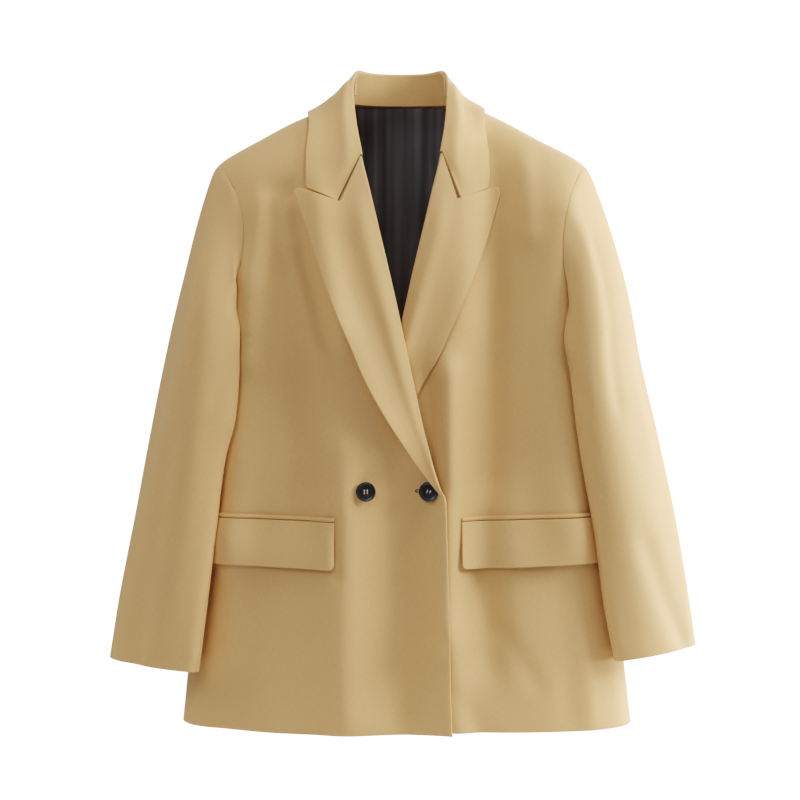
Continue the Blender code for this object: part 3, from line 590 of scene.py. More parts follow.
def front_point(x, z, lift, lapped, creased=True):
    """Points on a front at x and z, moved out by lift."""
    return body_point(angle_at(x, z), z, lift, lapped, creased)


def clearance(points):
    """About how far points are from the body's outer surface, as a share of its size."""
    x, y, z = np.moveaxis(points, -1, 0)
    depth = np.where(y < 0, FRONT_DEPTH(z), BACK_DEPTH(z))
    wide, deep = abs(x - SHIFT(z)) / HALF_WIDTH(z), abs(y) / depth
    square = squareness(z, y < 0)
    return (wide ** square + deep ** square) ** (1 / square) - 1


def clear_of_body(points, gap):
    """The points, moved straight out where they are nearer than gap to the body."""
    points = np.array(points, float)
    for softness in CLEARING:
        slope = np.stack([clearance(points + shift) - clearance(points - shift)
                          for shift in np.eye(3) * SLOPE_STEP], axis=-1) / (2 * SLOPE_STEP)
        steepness = np.linalg.norm(slope, axis=-1)
        x, y, z = np.moveaxis(points, -1, 0)
        short = gap - (clearance(points) / steepness - body_relief(x, z, y < 0))
        short = np.where(z > NECK_HEIGHT + 1, 0.0, (short + np.hypot(short, softness)) / 2)
        points += slope / steepness[..., None] * short[..., None]
    return points


# ---------------------------------------------------------------- cloth shells
def grid_normals(grid, outward):
    """Unit normals of a grid of points, on the side that `outward` points to."""
    normals = unit(np.cross(np.gradient(grid, axis=0), np.gradient(grid, axis=1)))
    return normals if np.sum(normals * outward) > 0 else -normals


def border_of(rows, columns):
    """Rows and columns of the points round a grid, in order, and of their inner neighbours."""
    ring = [(0, j) for j in range(columns)]
    ring += [(i, columns - 1) for i in range(1, rows)]
    ring += [(rows - 1, j) for j in range(columns - 2, -1, -1)]
    ring += [(i, 0) for i in range(rows - 2, 0, -1)]
    ring = np.array(ring)
    inner = np.clip(ring, 1, (rows - 2, columns - 2))
    return ring, inner


def cloth_lengths(grid, upright):
    """Thread coordinates of a grid in metres: round it, and down it.

    Upright threads run level and plumb; others run down the grid's middle column."""
    steps = np.diff(grid, axis=1, prepend=grid[:, :1]) * (LEVEL if upright else 1)
    across = np.cumsum(np.linalg.norm(steps, axis=2), axis=1)
    middle = grid[:, grid.shape[1] // 2]
    down = np.cumsum(np.linalg.norm(np.diff(middle, axis=0, prepend=middle[:1]), axis=1))
    down = grid[..., 2] if upright else np.broadcast_to(down[:, None], across.shape)
    return np.stack((across, down), axis=-1) * MM


def round_corner(grid, low_end, far_end, size):
    """Rounds one corner of a grid: of its first or last row, and its first or last column."""
    corner = grid[::-1 if low_end else 1, ::-1 if far_end else 1]
    steps_down, steps_across = np.diff(corner, axis=0), np.diff(corner, axis=1)
    down, across = np.zeros(corner.shape[:2]), np.zeros(corner.shape[:2])
    down[1:] = np.cumsum(np.linalg.norm(steps_down, axis=2), axis=0)
    across[:, 1:] = np.cumsum(np.linalg.norm(steps_across, axis=2), axis=1)
    a = np.clip(1 - across / size, 0.0, 1.0)[..., None]
    b = np.clip(1 - down / size, 0.0, 1.0)[..., None]
    out, up = unit(corner[:, :1] - corner[:, 3:4]), unit(corner[:1] - corner[3:4])
    corner += size * (a * (np.sqrt(1 - b * b / 2) - 1) * out
                      + b * (np.sqrt(1 - a * a / 2) - 1) * up)


def settled(points):
    """The points where the cloth has sunk on the shoulders and round the neck."""
    moved = points.copy()
    for x, z, reach, aside, up in SETTLE:
        share = np.exp(-((points[:, 0] - x) ** 2 + (points[:, 2] - z) ** 2) / reach ** 2)
        moved += share[:, None] * (aside, 0.0, up)
    return moved


def shell(name, outer, outward, thickness, rim, radius, upright=False):
    """A closed sheet of cloth under a grid of outer points, with rims of a radius round its edge.

    outward is any vector at each point that leaves the cloth on its outer side."""
    outer = np.array(outer, float)
    rows, columns = outer.shape[:2]
    normals = grid_normals(outer, outward)
    thickness = np.broadcast_to(np.asarray(thickness, float), (rows, columns))
    ring, inner = border_of(rows, columns)
    i, j = ring.T
    edge, edge_normals, inside = outer[i, j], normals[i, j], outer[inner[:, 0], inner[:, 1]]
    along = np.roll(edge, -1, axis=0) - np.roll(edge, 1, axis=0)
    out = unit(np.cross(along, edge_normals))
    if np.sum(out * (edge - inside)) < 0:
        out = -out
    room = 0.6 * np.linalg.norm(edge - inside, axis=1)
    reach = np.minimum(radius, room)[:, None]
    depth = thickness[i, j][:, None]
    outer[i, j] = edge - out * reach
    under = outer - normals * thickness[..., None]
    loops = [edge + out * reach * (share - 1) - edge_normals * depth * down for share, down in rim]

    count, around = rows * columns, len(ring)
    uv = cloth_lengths(outer, upright)
    points = np.concatenate([outer.reshape(-1, 3)] + loops + [under.reshape(-1, 3)])
    threads = np.concatenate([uv.reshape(-1, 2)] + [uv[i, j]] * len(rim) + [uv.reshape(-1, 2)])
    index = np.arange(count).reshape(rows, columns)
    top = np.stack((index[:-1, :-1], index[1:, :-1], index[1:, 1:], index[:-1, 1:]), axis=-1)
    top = top.reshape(-1, 4)
    low = count + len(rim) * around
    rings = [index[i, j]] + [count + k * around + np.arange(around) for k in range(len(rim))]
    rings.append(low + index[i, j])
    quads = [top, top[:, ::-1] + low]
    for here, there in zip(rings, rings[1:]):
        quads.append(np.stack((here, np.roll(here, -1), np.roll(there, -1), there), axis=-1))
    quads = np.concatenate(quads)
    if np.sum(np.cross(points[top[:, 1]] - points[top[:, 0]], points[top[:, 3]] - points[top[:, 0]])
              * normals[:-1, :-1].reshape(-1, 3)) < 0:
        quads = quads[:, ::-1]
    return mesh_object(name, settled(points) * MM, quads, threads)


def mesh_object(name, points, faces, threads):
    """An object of the given points in metres and faces, with the points' thread coordinates."""
    mesh = bpy.data.meshes.new(name)
    mesh.from_pydata(points.tolist(), [], faces.tolist())
    layer = mesh.uv_layers.new(name="cloth")
    corners = np.empty(len(mesh.loops), dtype=np.int32)
    mesh.loops.foreach_get("vertex_index", corners)
    layer.data.foreach_set("uv", threads[corners].ravel())
    mesh.shade_smooth()
    thing = bpy.data.objects.new(name, mesh)
    bpy.context.scene.collection.objects.link(thing)
    return thing


# ---------------------------------------------------------------- fronts, back and lining
def panel_heights():
    """Heights of a panel's rows at its armhole side and at its other side."""
    low = np.linspace(HEM_HEIGHT, UNDERARM_HEIGHT, 112)
    middle = UNDERARM_HEIGHT + (SHOULDER_HEIGHT - UNDERARM_HEIGHT) * crowded(84, 2.2)
    high = np.linspace(SHOULDER_HEIGHT, NECK_HEIGHT, 40)
    at_side = np.concatenate((low, middle[1:], high[1:]))
    turns = (0, len(low) - 1, len(low) + len(middle) - 2, len(at_side) - 1)
    at_edge = np.interp(np.arange(len(at_side)), turns, (HEM_HEIGHT, *ROW_TURNS, NECK_HEIGHT))
    return at_side, at_edge


def outer_angle(z, side, behind):
    """Angle of a panel's outer edge: side seam, armhole or shoulder seam."""
    armhole = (ARMHOLE_REAR if behind else ARMHOLE_FRONT)(z)
    at_armhole = angle_at(side * armhole + SHIFT(z), z, behind)
    open_here = (z > UNDERARM_HEIGHT) & (z < SHOULDER_HEIGHT)
    return np.where(open_here, at_armhole, side * math.pi / 2)


def hem_lift(z, rise):
    """The hem's rise, faded out up the panel."""
    return rise * (1 - ramp(z, HEM_HEIGHT, HEM_HEIGHT + HEM_RISE_HEIGHT))


def front_grid(side):
    """Outer points of a front and its thickness, rows up from the hem, columns from the edge."""
    lapped = side < 0
    at_side, at_edge = panel_heights()
    u = np.linspace(0.0, 1.0, 100)
    z = at_edge[:, None] + (at_side - at_edge)[:, None] * u ** FRONT_ROW_BEND
    # above the break the edge keeps behind the roll of the lapel
    set_back = (ROLL_RADIUS + EDGE_SET_BACK) * ramp(z, BREAK_HEIGHT + 2, BREAK_HEIGHT + 28)
    start = angle_at(side * (EDGE_X(z) + set_back), z)
    angle = start + (outer_angle(at_side, side, False)[:, None] - start) * u
    rise = HEM_SIDE_RISE * np.sin(angle) ** 4
    if not lapped:
        rise = rise + HEM_RISE_LEFT * (1 - ease(HEM_RISE_SHARE * u))
    grid = body_point(angle, z + hem_lift(z, rise), 0.0, lapped)
    grid[:, -1, 1] = np.minimum(grid[:, -1, 1], -SEAM_GAP / 2)
    near_edge = np.exp(-np.linalg.norm(grid - grid[:, :1], axis=2) / EDGE_REACH)
    below_break = 1 - ramp(z, BREAK_HEIGHT, BREAK_HEIGHT + 60)
    return grid, cloth("panel") + EDGE_CLOTH * near_edge * below_break


def back_grid(lift, first_row=0, columns=140, extra=()):
    """Outer points of the back, or of a layer under it, rows up, columns from the left."""
    at_side, at_middle = (heights[first_row:] for heights in panel_heights())
    u = np.linspace(0.0, 1.0, columns)
    z = at_middle[:, None] + (at_side - at_middle)[:, None] * abs(2 * u - 1) ** BACK_ROW_BEND
    left = outer_angle(at_side, 1, True)[:, None]
    right = outer_angle(at_side, -1, True)[:, None] + 2 * math.pi
    angle = left + (right - left) * u
    rise = hem_lift(z, HEM_SIDE_RISE * np.sin(angle) ** 4)
    grid = body_point(angle, z + rise, lift, extra=extra)
    for end in (0, -1):
        grid[:, end, 1] = np.maximum(grid[:, end, 1], SEAM_GAP / 2)
    return grid


def lining_pleat(grid):
    """How far the lining stands in from the back at its middle pleat."""
    aside = grid[..., 0] - PLEAT_X
    sharp = 1 / (1 + np.exp(-aside / PLEAT_SHARPNESS))
    fade = 1 - ramp(grid[..., 2], -10.0, 16.0)
    return PLEAT_DEPTH * sharp * np.exp(-np.maximum(aside, 0.0) / PLEAT_WIDTH) * fade


# ---------------------------------------------------------------- sleeves
class Armhole:
    """The seam round an armhole, read by the turn from its tip down the front and up the back."""

    def __init__(self, side):
        down = SHOULDER_HEIGHT + (UNDERARM_HEIGHT - SHOULDER_HEIGHT) * crowded(400, 2.4)
        heights = np.concatenate((down, down[-2::-1]))
        low = len(down) - 1
        behind = np.arange(len(heights)) > low
        angles = np.where(behind, *(outer_angle(heights, side, rear) for rear in (True, False)))
        points = body_point(angles, heights)
        normals = body_point(angles, heights, 1.0) - points
        steps = np.linalg.norm(np.diff(points, axis=0), axis=1)
        travelled = np.concatenate(([0.0], np.cumsum(steps)))
        turns = np.where(travelled <= travelled[low], travelled / travelled[low],
                         1 + (travelled - travelled[low]) / (travelled[-1] - travelled[low]))
        along = np.gradient(points, axis=0)
        along[0] = along[-1] = unit(along[1]) + unit(along[-2])
        away = unit(-side * np.cross(along, normals))
        smooth = np.hanning(31) / np.hanning(31).sum()
        wrapped = np.concatenate((away[-16:-1], away, away[1:16]))
        away = np.stack([np.convolve(part, smooth, mode="valid") for part in wrapped.T], axis=1)
        self.away = unit(away)
        self.turns, self.points = turns * math.pi, points
        self.heights, self.low, self.side = heights, low, side

    def turn_at(self, z, behind):
        """The turn at which the seam passes a height, in front or behind."""
        part = slice(self.low, None) if behind else slice(0, self.low + 1)
        heights, turns = self.heights[part], self.turns[part]
        order = np.argsort(heights)
        return float(np.interp(z, heights[order], turns[order]))

    def read(self, values, turn):
        """Values along the seam at the turns."""
        turn = np.mod(turn, 2 * math.pi)
        return np.stack([np.interp(turn, self.turns, values[:, k]) for k in range(3)], axis=1)


def sleeve_grid(armhole, name, turns, stations):
    """Points of a sleeve's outer surface, rows down the arm and columns round it."""
    side = armhole.side
    loop, away = armhole.read(armhole.points, turns), unit(armhole.read(armhole.away, turns))
    outward = np.array((side, 0.0, 0.0))
    # 1 right under the arm, 0 over its upper part
    under = ease((1 - np.cos(turns)) / 2 * 1.5 - 0.5)[:, None]
    first = loop + away * ARMHOLE_GAP + outward * under * UNDERARM_GAP
    lead = unit(away * (1 - under) + outward * under)
    across, ahead = np.cos(turns), np.sin(turns)
    knots = [first]
    for z, out, forward, wide, back, up, deep, inward in SLEEVE_RINGS[name]:
        knots.append(points_of(side * (out + wide * across - inward * ahead),
                               -forward + back * across - deep * ahead, z + up * across))
    knots = np.array(knots)
    start = unit(unit(knots[1] - first) + 0.5 * lead)
    grid = sleeve_relief(curve_through(knots, start, stations), name, turns, stations)
    gap = CLEARANCE_AT(stations)[:, None] - HEAD_FREEDOM * ramp(grid[..., 2], -262.0, -212.0)
    return grid + evened(clear_of_body(grid, gap) - grid)


def evened(moves):
    """Moves of a grid's points, evened out down the arm so that the cloth bends softly."""
    for _ in range(EVENING):
        ends = np.concatenate((moves[:1], moves, moves[-1:]))
        moves = (ends[:-2] + 2 * moves + ends[2:]) / 4
    return moves


def sleeve_relief(grid, name, turns, stations):
    """A sleeve's points, moved out by its folds and by the fullness of its head."""
    normals = grid_normals(grid, grid - grid.mean(axis=1, keepdims=True))
    degrees = np.degrees(np.mod(turns, 2 * math.pi))
    relief = np.zeros(grid.shape[:2])
    for turn0, station0, turn1, station1, width, height in SLEEVE_FOLDS[name]:
        x = ((degrees - turn0 + 180) % 360 - 180)[None, :] * DEGREE
        z = (stations[:, None] - station0) * STATION
        run_x = ((turn1 - turn0 + 180) % 360 - 180) * DEGREE
        relief += soft_fold(x, z, run_x, (station1 - station0) * STATION, width, height, 1.8)
    relief *= ease(stations / 0.25)[:, None]
    from_seam = stations[:, None] * STATION / HEAD_REACH
    top = (0.5 + 0.5 * np.cos(turns))[None, :] ** 2
    relief += HEAD_RISE * top * from_seam * np.exp(1 - from_seam)
    return grid + normals * relief[..., None]


def sleeve_stations():
    """Stations of a sleeve's rows, closer together at its head."""
    return np.concatenate((np.linspace(0.0, 1.0, 60), np.linspace(1.0, 6.0, 106)[1:]))


# ---------------------------------------------------------------- lapels and collar
def lapel_spring(name, z, u, width):
    """Extra lift of a lapel, most at its free edge low down, none at the peak and the break."""
    if name == "right":
        reach = ramp(z, BREAK_HEIGHT + 2, BREAK_HEIGHT + 14)
        reach = reach * (0.15 + 0.85 * ramp(z, -110.0, -310.0))
    else:
        reach = ramp(z, -330.0, -280.0) * ramp(z, -120.0, -200.0)
    most = np.minimum(LAPEL_SPRING[name], 0.38 * width)
    return most * reach * (0.12 + 0.88 * u)


def roll_belly(u):
    """Height of a turned-out edge across it: full beside the roll, hollow past the middle."""
    crest, hollow, width = 0.22, 0.66, 0.16
    return np.exp(-((u - crest) / width) ** 2) - 0.2 * np.exp(-((u - hollow) / width) ** 2) \
        - np.exp(-(crest / width) ** 2) * (1 - u)


def gorge_top(name):
    """Where the gorge seam meets the roll line, as x and z."""
    z = GORGE[name]["gorge_z"]
    return float(EDGE_X(z)), z


def lapel_sheet(name, side):
    """Outer points of a lapel and its cloth's thickness, with rows from the gorge down."""
    marks = GORGE[name]
    roll_top, notch, peak = gorge_top(name), marks["notch"], marks["peak"]
    top_z = peak[1] - PEAK_DROP
    # rows lie a little closer together at the gorge
    v = (np.linspace(0.0, 1.0, 170) ** 1.15)[:, None]
    roll_z = roll_top[1] + (LAPEL_END - roll_top[1]) * v
    edge_z = top_z + (LAPEL_END - peak[1]) * v
    roll_x = EDGE_X(roll_z)
    edge_x = LAPEL_EDGE[name](edge_z) + LAPEL_END_WIDTH * v
    width = np.hypot(edge_x - roll_x, edge_z - roll_z)
    radius = np.minimum(ROLL_RADIUS, 0.3 * width)    # tighter where the lapel is narrow
    first = radius / width
    u = first + (1 - first) * np.linspace(0.0, 1.0, 54)
    x, z = roll_x + (edge_x - roll_x) * u, roll_z + (edge_z - roll_z) * u
    # the top edge is bent at the notch, and less and less further down
    share = np.where(u < NOTCH_SHARE, u / NOTCH_SHARE, (1 - u) / (1 - NOTCH_SHARE))
    straight_x = roll_top[0] + (peak[0] - roll_top[0]) * NOTCH_SHARE
    straight_z = roll_top[1] + (top_z - roll_top[1]) * NOTCH_SHARE
    fade = (1 - v) ** 3
    from_notch = np.maximum(0.0, 1 - u / NOTCH_SHARE)
    x = x + (notch[0] - straight_x) * share * fade - GORGE_GAP * fade * from_notch
    z = z + (notch[1] - straight_z) * share * fade - GORGE_GAP * fade
    tip = 1 - ease((z - LAPEL_END) / LAPEL_TIP_REACH)
    under = FACING_LIFT + (LAPEL_TIP_LIFT - FACING_LIFT) * tip
    thickness = cloth("facing") + (LAPEL_TIP_CLOTH - cloth("facing")) * tip
    # the fullness builds up just under the gorge and fades out towards the break
    belly = LAPEL_BELLY * roll_belly(u) * ease(v * 5) * ease((1 - v) * 1.7)
    lift = under + thickness + lapel_spring(name, z, u, width) + belly
    grid = front_point(side * x, z, lift, side < 0, creased=side > 0)
    round_corner(grid, False, True, PEAK_ROUND)
    return grid, thickness, radius


def rolled(grid, thickness, outward, radius):
    """The grid and its thickness, carried on at the first column round a folded edge."""
    normals = grid_normals(grid, outward)[:, 0]
    along = np.gradient(grid[:, 0], axis=0)
    over = unit(np.cross(along, normals))
    over *= np.sign(np.einsum("ij,ij->i", over, grid[:, 0] - grid[:, 3]))[:, None]
    centre = grid[:, 0] - normals * radius
    turns = np.linspace(ROLL_TURN, 0.0, 12)[:-1]
    roll = np.stack([centre + radius * (normals * math.cos(turn) + over * math.sin(turn))
                     for turn in turns], axis=1)
    # the cloth in the fold is thin enough to turn round its middle
    folded = np.minimum(thickness[:, :1], 0.75 * radius) * np.ones(len(turns))
    return np.concatenate((roll, grid), axis=1), np.concatenate((folded, thickness), axis=1)


def collar_half(name, side, u, lines):
    """Underside of the fall, rows along the collar from the gorge to the middle of the back."""
    turn, notch, corner = (np.array(mark) for mark in
                           (gorge_top(name), GORGE[name]["notch"], GORGE[name]["corner"]))
    share = u[:, None]
    flat = turn + (notch - turn) * np.minimum(2 * share, 1.0) \
        + (corner - notch) * np.maximum(2 * share - 1, 0.0)
    knots = [front_point(side * flat[:, 0], flat[:, 1], FACING_LIFT, False, creased=False)]
    for fx, fy, fz, mx, my, mz, angle, low_z in COLLAR_STATIONS:
        fold, middle = np.array((side * fx, fy, fz)), np.array((side * mx, my, mz))
        low_z += GORGE[name]["collar_rise"] * (1 - ramp(angle, 90.0, 150.0))
        edge = body_point(side * math.radians(angle), low_z, FACING_LIFT, creased=False)
        knots.append(fold * (1 - share) * (1 - 2 * share) + middle * 4 * share * (1 - share)
                     + edge * share * (2 * share - 1))
    knots = np.array(knots)
    grid = curve_through(knots, unit(knots[1] - knots[0]), lines)
    clear = clear_of_body(grid, FACING_LIFT + 0.3)
    keep = (1 - ease(lines * 3.0))[:, None, None]
    return grid * keep + clear * (1 - keep)


def collar_grid():
    """Outer points of the fall, rows from the right gorge round the neck to the left one."""
    lines = np.concatenate((np.linspace(0.0, 1.0, 26), np.linspace(1.0, 7.0, 76)[1:]))
    u = np.linspace(0.0, 1.0, 45)
    right, left = collar_half("right", -1, u, lines), collar_half("left", 1, u, lines)
    under = np.concatenate((right, left[-2::-1]))
    outward = under - COLLAR_MIDDLE
    ends = np.concatenate((lines, lines[-2::-1]))[:, None]
    # full from just behind the gorge to the shoulder, and plain round the back
    belly = COLLAR_BELLY * roll_belly(u)[None, :] * ease(ends * 1.4) * ease((4.2 - ends) / 1.5)
    outer = under + grid_normals(under, outward) * (cloth("facing") + belly)[..., None]
    # the columns start where the roll ends, in from the fold
    lengths = np.linalg.norm(outer[:, 1] - outer[:, 0], axis=1)[:, None]
    first = ROLL_RADIUS / lengths
    at = np.minimum(first + (len(u) - 1 - first) * u, len(u) - 1.001)
    k = at.astype(int)
    rows = np.arange(len(outer))[:, None]
    sheet = outer[rows, k] + (outer[rows, k + 1] - outer[rows, k]) * (at - k)[..., None]
    for low_end in (False, True):
        round_corner(sheet, low_end, True, COLLAR_ROUND)
    return sheet, outward


def stand_grid():
    """Outer points of the stand, rows from the right end round the neck, columns down."""
    table = np.array(STAND_STATIONS)
    knots = np.concatenate((table * (-1, 1, 1, -1, 1, 1), table[-2::-1]))
    stations = np.linspace(0.0, len(knots) - 1, 130)
    pairs = knots.reshape(len(knots), 2, 3)
    curves = curve_through(pairs, unit(pairs[1] - pairs[0]), stations)
    u = np.linspace(0.0, 1.0, 26)[None, :, None]
    return curves[:, :1] + (curves[:, 1:] - curves[:, :1]) * u


# ---------------------------------------------------------------- pockets
def pocket_mouth(across):
    """Height of the pocket's mouth at a distance from its inner end."""
    return FLAP_TOP_Z + FLAP_TILT * across


def flap_grid(name, side):
    """Outer points of a flap, rows down and columns outwards."""
    inner, outer = FLAP_REACH[name]
    down = np.linspace(0.0, FLAP_DEPTH, 44)[:, None]
    across = np.linspace(0.0, outer - inner, 120)[None, :]
    # flat at the mouth, fullest below the middle
    puff = FLAP_PUFF * np.sin(np.pi * (down / FLAP_DEPTH) ** 1.3 * 0.86) ** 0.8
    puff = puff * (1 - np.exp(-np.minimum(across, outer - inner - across) / FLAP_PUFF_REACH))
    hang = FLAP_HANG * (down / FLAP_DEPTH) ** 1.6
    grid = front_point(side * (inner + across), pocket_mouth(across) - down,
                       FLAP_LIFT + cloth("flap") + puff + hang, side < 0)
    for far_end in (False, True):
        round_corner(grid, True, far_end, FLAP_CORNER)
    return grid


def welt_grid(name, side):
    """Outer points of a welt and its cloth's thickness; its lower half goes in under the flap."""
    inner, outer = FLAP_REACH[name]
    across = np.linspace(0.0, outer - inner, 90)[None, :]
    up = np.linspace(-WELT_TUCK, WELT_GAP + WELT_WIDTH, 16)[:, None]
    tucked = 1 - ease((up - 0.3) / 1.4)    # 1 under the flap, 0 where the welt shows
    lift = WELT_LIFT + cloth("welt") \
        + WELT_ROUND * np.sin(np.pi * np.clip((up - WELT_GAP) / WELT_WIDTH, 0.0, 1.0))
    lift = lift + (WELT_TUCK_CLOTH + WELT_TUCK_LIFT - lift) * tucked
    thickness = cloth("welt") + (WELT_TUCK_CLOTH - cloth("welt")) * tucked
    grid = front_point(side * (inner + across), pocket_mouth(across) + up, lift, side < 0)
    return grid, np.broadcast_to(thickness, grid.shape[:2])


# ---------------------------------------------------------------- materials
def darker(colour, share):
    """The colour with a share of its light."""
    return tuple(share * part for part in colour[:3]) + (1.0,)


def add_node(tree, kind, links=None, **settings):
    """A shader node with its settings, and its inputs set to values or linked to sockets."""
    node = tree.nodes.new(kind)
    for key, value in settings.items():
        setattr(node, key, value)
    for key, value in (links or {}).items():
        if isinstance(value, bpy.types.NodeSocket):
            tree.links.new(value, node.inputs[key])
        else:
            node.inputs[key].default_value = value
    return node


def new_material(name, **constants):
    """A material and its nodes, with constant values on its Principled shader's sockets."""
    material = bpy.data.materials.new(name)
    material.use_nodes = True
    for key, value in constants.items():
        material.node_tree.nodes["Principled BSDF"].inputs[key].default_value = value
    return material, material.node_tree


def drawn(material, colour, height=None, strength=0.0, depth=0.0):
    """The material, with a colour and a fine relief linked to its shader."""
    tree = material.node_tree
    shader = tree.nodes["Principled BSDF"]
    tree.links.new(colour, shader.inputs["Base Color"])
    if height:
        bump = add_node(tree, "ShaderNodeBump",
                        {"Strength": strength, "Distance": depth, "Height": height})
        tree.links.new(bump.outputs["Normal"], shader.inputs["Normal"])
    return material


def threads_of(tree):
    """Place along a cloth's threads, in metres."""
    return add_node(tree, "ShaderNodeUVMap", uv_map="cloth").outputs["UV"]


def place_of(tree):
    """Place in the blazer, in metres."""
    return add_node(tree, "ShaderNodeTexCoord").outputs["Object"]


def scaled(tree, place, *scale):
    """The place with its axes scaled."""
    return add_node(tree, "ShaderNodeMapping", {"Vector": place, "Scale": scale}).outputs["Vector"]


def noise(tree, place, scale, detail, roughness=0.5):
    """Soft noise at a place."""
    return add_node(tree, "ShaderNodeTexNoise", {"Vector": place, "Scale": scale, "Detail": detail,
                                                 "Roughness": roughness}).outputs["Fac"]


def thread_noise(tree, threads, across, along, detail=2.0):
    """Noise stretched along one set of threads; sizes in millimetres of cloth."""
    place = scaled(tree, threads, 1 / (across * MM), 1 / (along * MM), 1.0)
    return noise(tree, place, 1.0, detail, 0.55)


def spread(tree, value, low, high):
    """The values from low to high, spread from 0 to 1."""
    return add_node(tree, "ShaderNodeMapRange", {0: value, 1: low, 2: high}).outputs[0]


def mixed(tree, factor, first, second):
    """Two colours, mixed by a factor."""
    return add_node(tree, "ShaderNodeMix", {0: factor, 6: first, 7: second},
                    data_type="RGBA").outputs[2]


def suiting(colours):
    """Wool-look suiting: a fine dull weave of polyester and viscose, steam pressed.

    Threads are 0.4 mm apart, too fine to show, so the weave is drawn as faint, 0.9 mm wide ones."""
    material, tree = new_material("woven_suiting", **{
        "Roughness": 0.78, "Specular IOR Level": 0.28,
        "Sheen Weight": 0.22, "Sheen Roughness": 0.45, "Sheen Tint": colours.cloth_sheen})
    threads = threads_of(tree)
    warp, weft = thread_noise(tree, threads, 0.9, 7.0), thread_noise(tree, threads, 6.0, 0.9)
    weave = add_node(tree, "ShaderNodeMath", {0: warp, 1: weft}, operation="ADD").outputs[0]
    patches = thread_noise(tree, threads, 60.0, 90.0, detail=3.0)
    woven = mixed(tree, spread(tree, weave, 0.75, 1.25), colours.cloth_shade, colours.cloth_light)
    washed = mixed(tree, spread(tree, patches, 0.35, 0.65), colours.cloth_cool, colours.cloth_warm)
    return drawn(material, mixed(tree, 0.35, woven, washed), weave, 0.06, 0.0003)


def satin_lining(colours):
    """Acetate satin lining: smooth, dark grey, with painted highlight streaks running down it for
    the shine on its folds.
    """
    material, tree = new_material("satin_lining", **{
        "Roughness": 0.42, "Specular IOR Level": 0.45,
        "Sheen Weight": 0.12, "Sheen Roughness": 0.4})
    # painted highlight: paler streaks up and down the lining, placed by noise, stand in for the
    # shine on its folds
    hung = scaled(tree, place_of(tree), 1 / (13 * MM), 0.0, 1 / (420 * MM))
    painted_highlight_streaks = spread(tree, noise(tree, hung, 1.0, 1.0), 0.35, 0.68)
    colour = mixed(tree, painted_highlight_streaks, colours.lining, colours.lining_painted_highlight)
    return drawn(material, colour, thread_noise(tree, threads_of(tree), 1.0, 9.0), 0.12, 0.0003)


def button_resin(colours):
    """Polyester resin button: turned and tumbled, charcoal with a faint cloudy grain."""
    material, tree = new_material("button_resin", **{
        "Roughness": 0.32, "IOR": 1.55, "Coat Weight": 0.15, "Coat Roughness": 0.25})
    place = place_of(tree)
    cloud = spread(tree, noise(tree, place, 180.0, 3.0), 0.35, 0.7)
    colour = mixed(tree, cloud, colours.button, colours.button_cloud)
    return drawn(material, colour, noise(tree, place, 2600.0, 2.0), 0.06, 0.0002)


def sewing_thread(name, colour):
    """Twisted polyester sewing thread: slightly shiny, with its twist as fine diagonal bands of
    relief and of painted shade in their grooves.
    """
    material, tree = new_material(name, **{
        "Roughness": 0.45, "Sheen Weight": 0.3, "Sheen Roughness": 0.4})
    twist = add_node(tree, "ShaderNodeTexWave",
                     {"Vector": place_of(tree), "Scale": 900.0, "Distortion": 1.5},
                     bands_direction="DIAGONAL").outputs["Fac"]
    # painted shade: the grooves of the twist are drawn at 0.7 of the thread's colour
    return drawn(material, mixed(tree, twist, darker(colour, 0.7), colour), twist, 0.3, 0.0002)


def studio_floor(colours):
    """Matt painted floor: plain, with the faintest unevenness in its paint."""
    material, tree = new_material("painted_floor", **{"Roughness": 0.85, "Specular IOR Level": 0.2})
    paint = noise(tree, place_of(tree), 3.0, 4.0)
    return drawn(material, mixed(tree, paint, darker(colours.floor, 0.97), colours.floor))


MAKERS = {
    "suiting": suiting,
    "lining": satin_lining,
    "resin": button_resin,
    "button_thread": lambda colours: sewing_thread("button_thread", colours.button_thread),
    "hole_thread": lambda colours: sewing_thread("buttonhole_thread", colours.hole_thread),
    "floor": studio_floor,
}
MATERIALS = {}


def material_of(kind):
    """The material of a kind, made once."""
    if kind not in MATERIALS:
        MATERIALS[kind] = MAKERS[kind](bpy.context.scene.blazer_colours)
    return MATERIALS[kind]


# ---------------------------------------------------------------- pieces
SIDES = (("right", -1), ("left", 1))


def dress(piece, kind):
    """Gives a piece its material and lets it ride on the blazer's one body."""
    piece.data.materials.clear()
    piece.data.materials.append(material_of(kind))
    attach(piece, "root")


def finish_piece(piece, node, kind):
    """Gives a piece its material and hides the imported part that it stands for."""
    dress(piece, kind)
    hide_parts(node)


def cut_cloth(name, node, grid, outward, thickness, rim, radius, kind="suiting",
              upright=False):
    """Makes one piece of cloth, see shell, and finishes it with finish_piece."""
    piece = shell(name, grid, outward, thickness, rim, radius, upright)
    finish_piece(piece, node, kind)


def make_fronts():
    """Makes both fronts."""
    for name, side in SIDES:
        grid, thickness = front_grid(side)
        cut_cloth(name + "_front", "front_" + name, grid, grid * LEVEL, thickness, RIM_SINGLE, 0.9,
                  upright=True)


def make_back():
    """Makes the back."""
    grid = back_grid(0.0)
    cut_cloth("back_panel", "back", grid, grid * LEVEL, cloth("panel"), RIM_SINGLE, 0.9,
              upright=True)


def make_lining():
    """Makes the lining inside the back, which starts above the hem."""
    under = -cloth("panel") - LINING_GAP
    grid = back_grid(under, first_row=12, columns=101, extra=LINING_FOLDS)[::2]
    outward = unit(grid * LEVEL)
    grid = grid - outward * lining_pleat(grid)[..., None]
    cut_cloth("back_lining_panel", "back_lining", grid, outward, cloth("lining"), RIM_SINGLE, 0.4,
              "lining", upright=True)


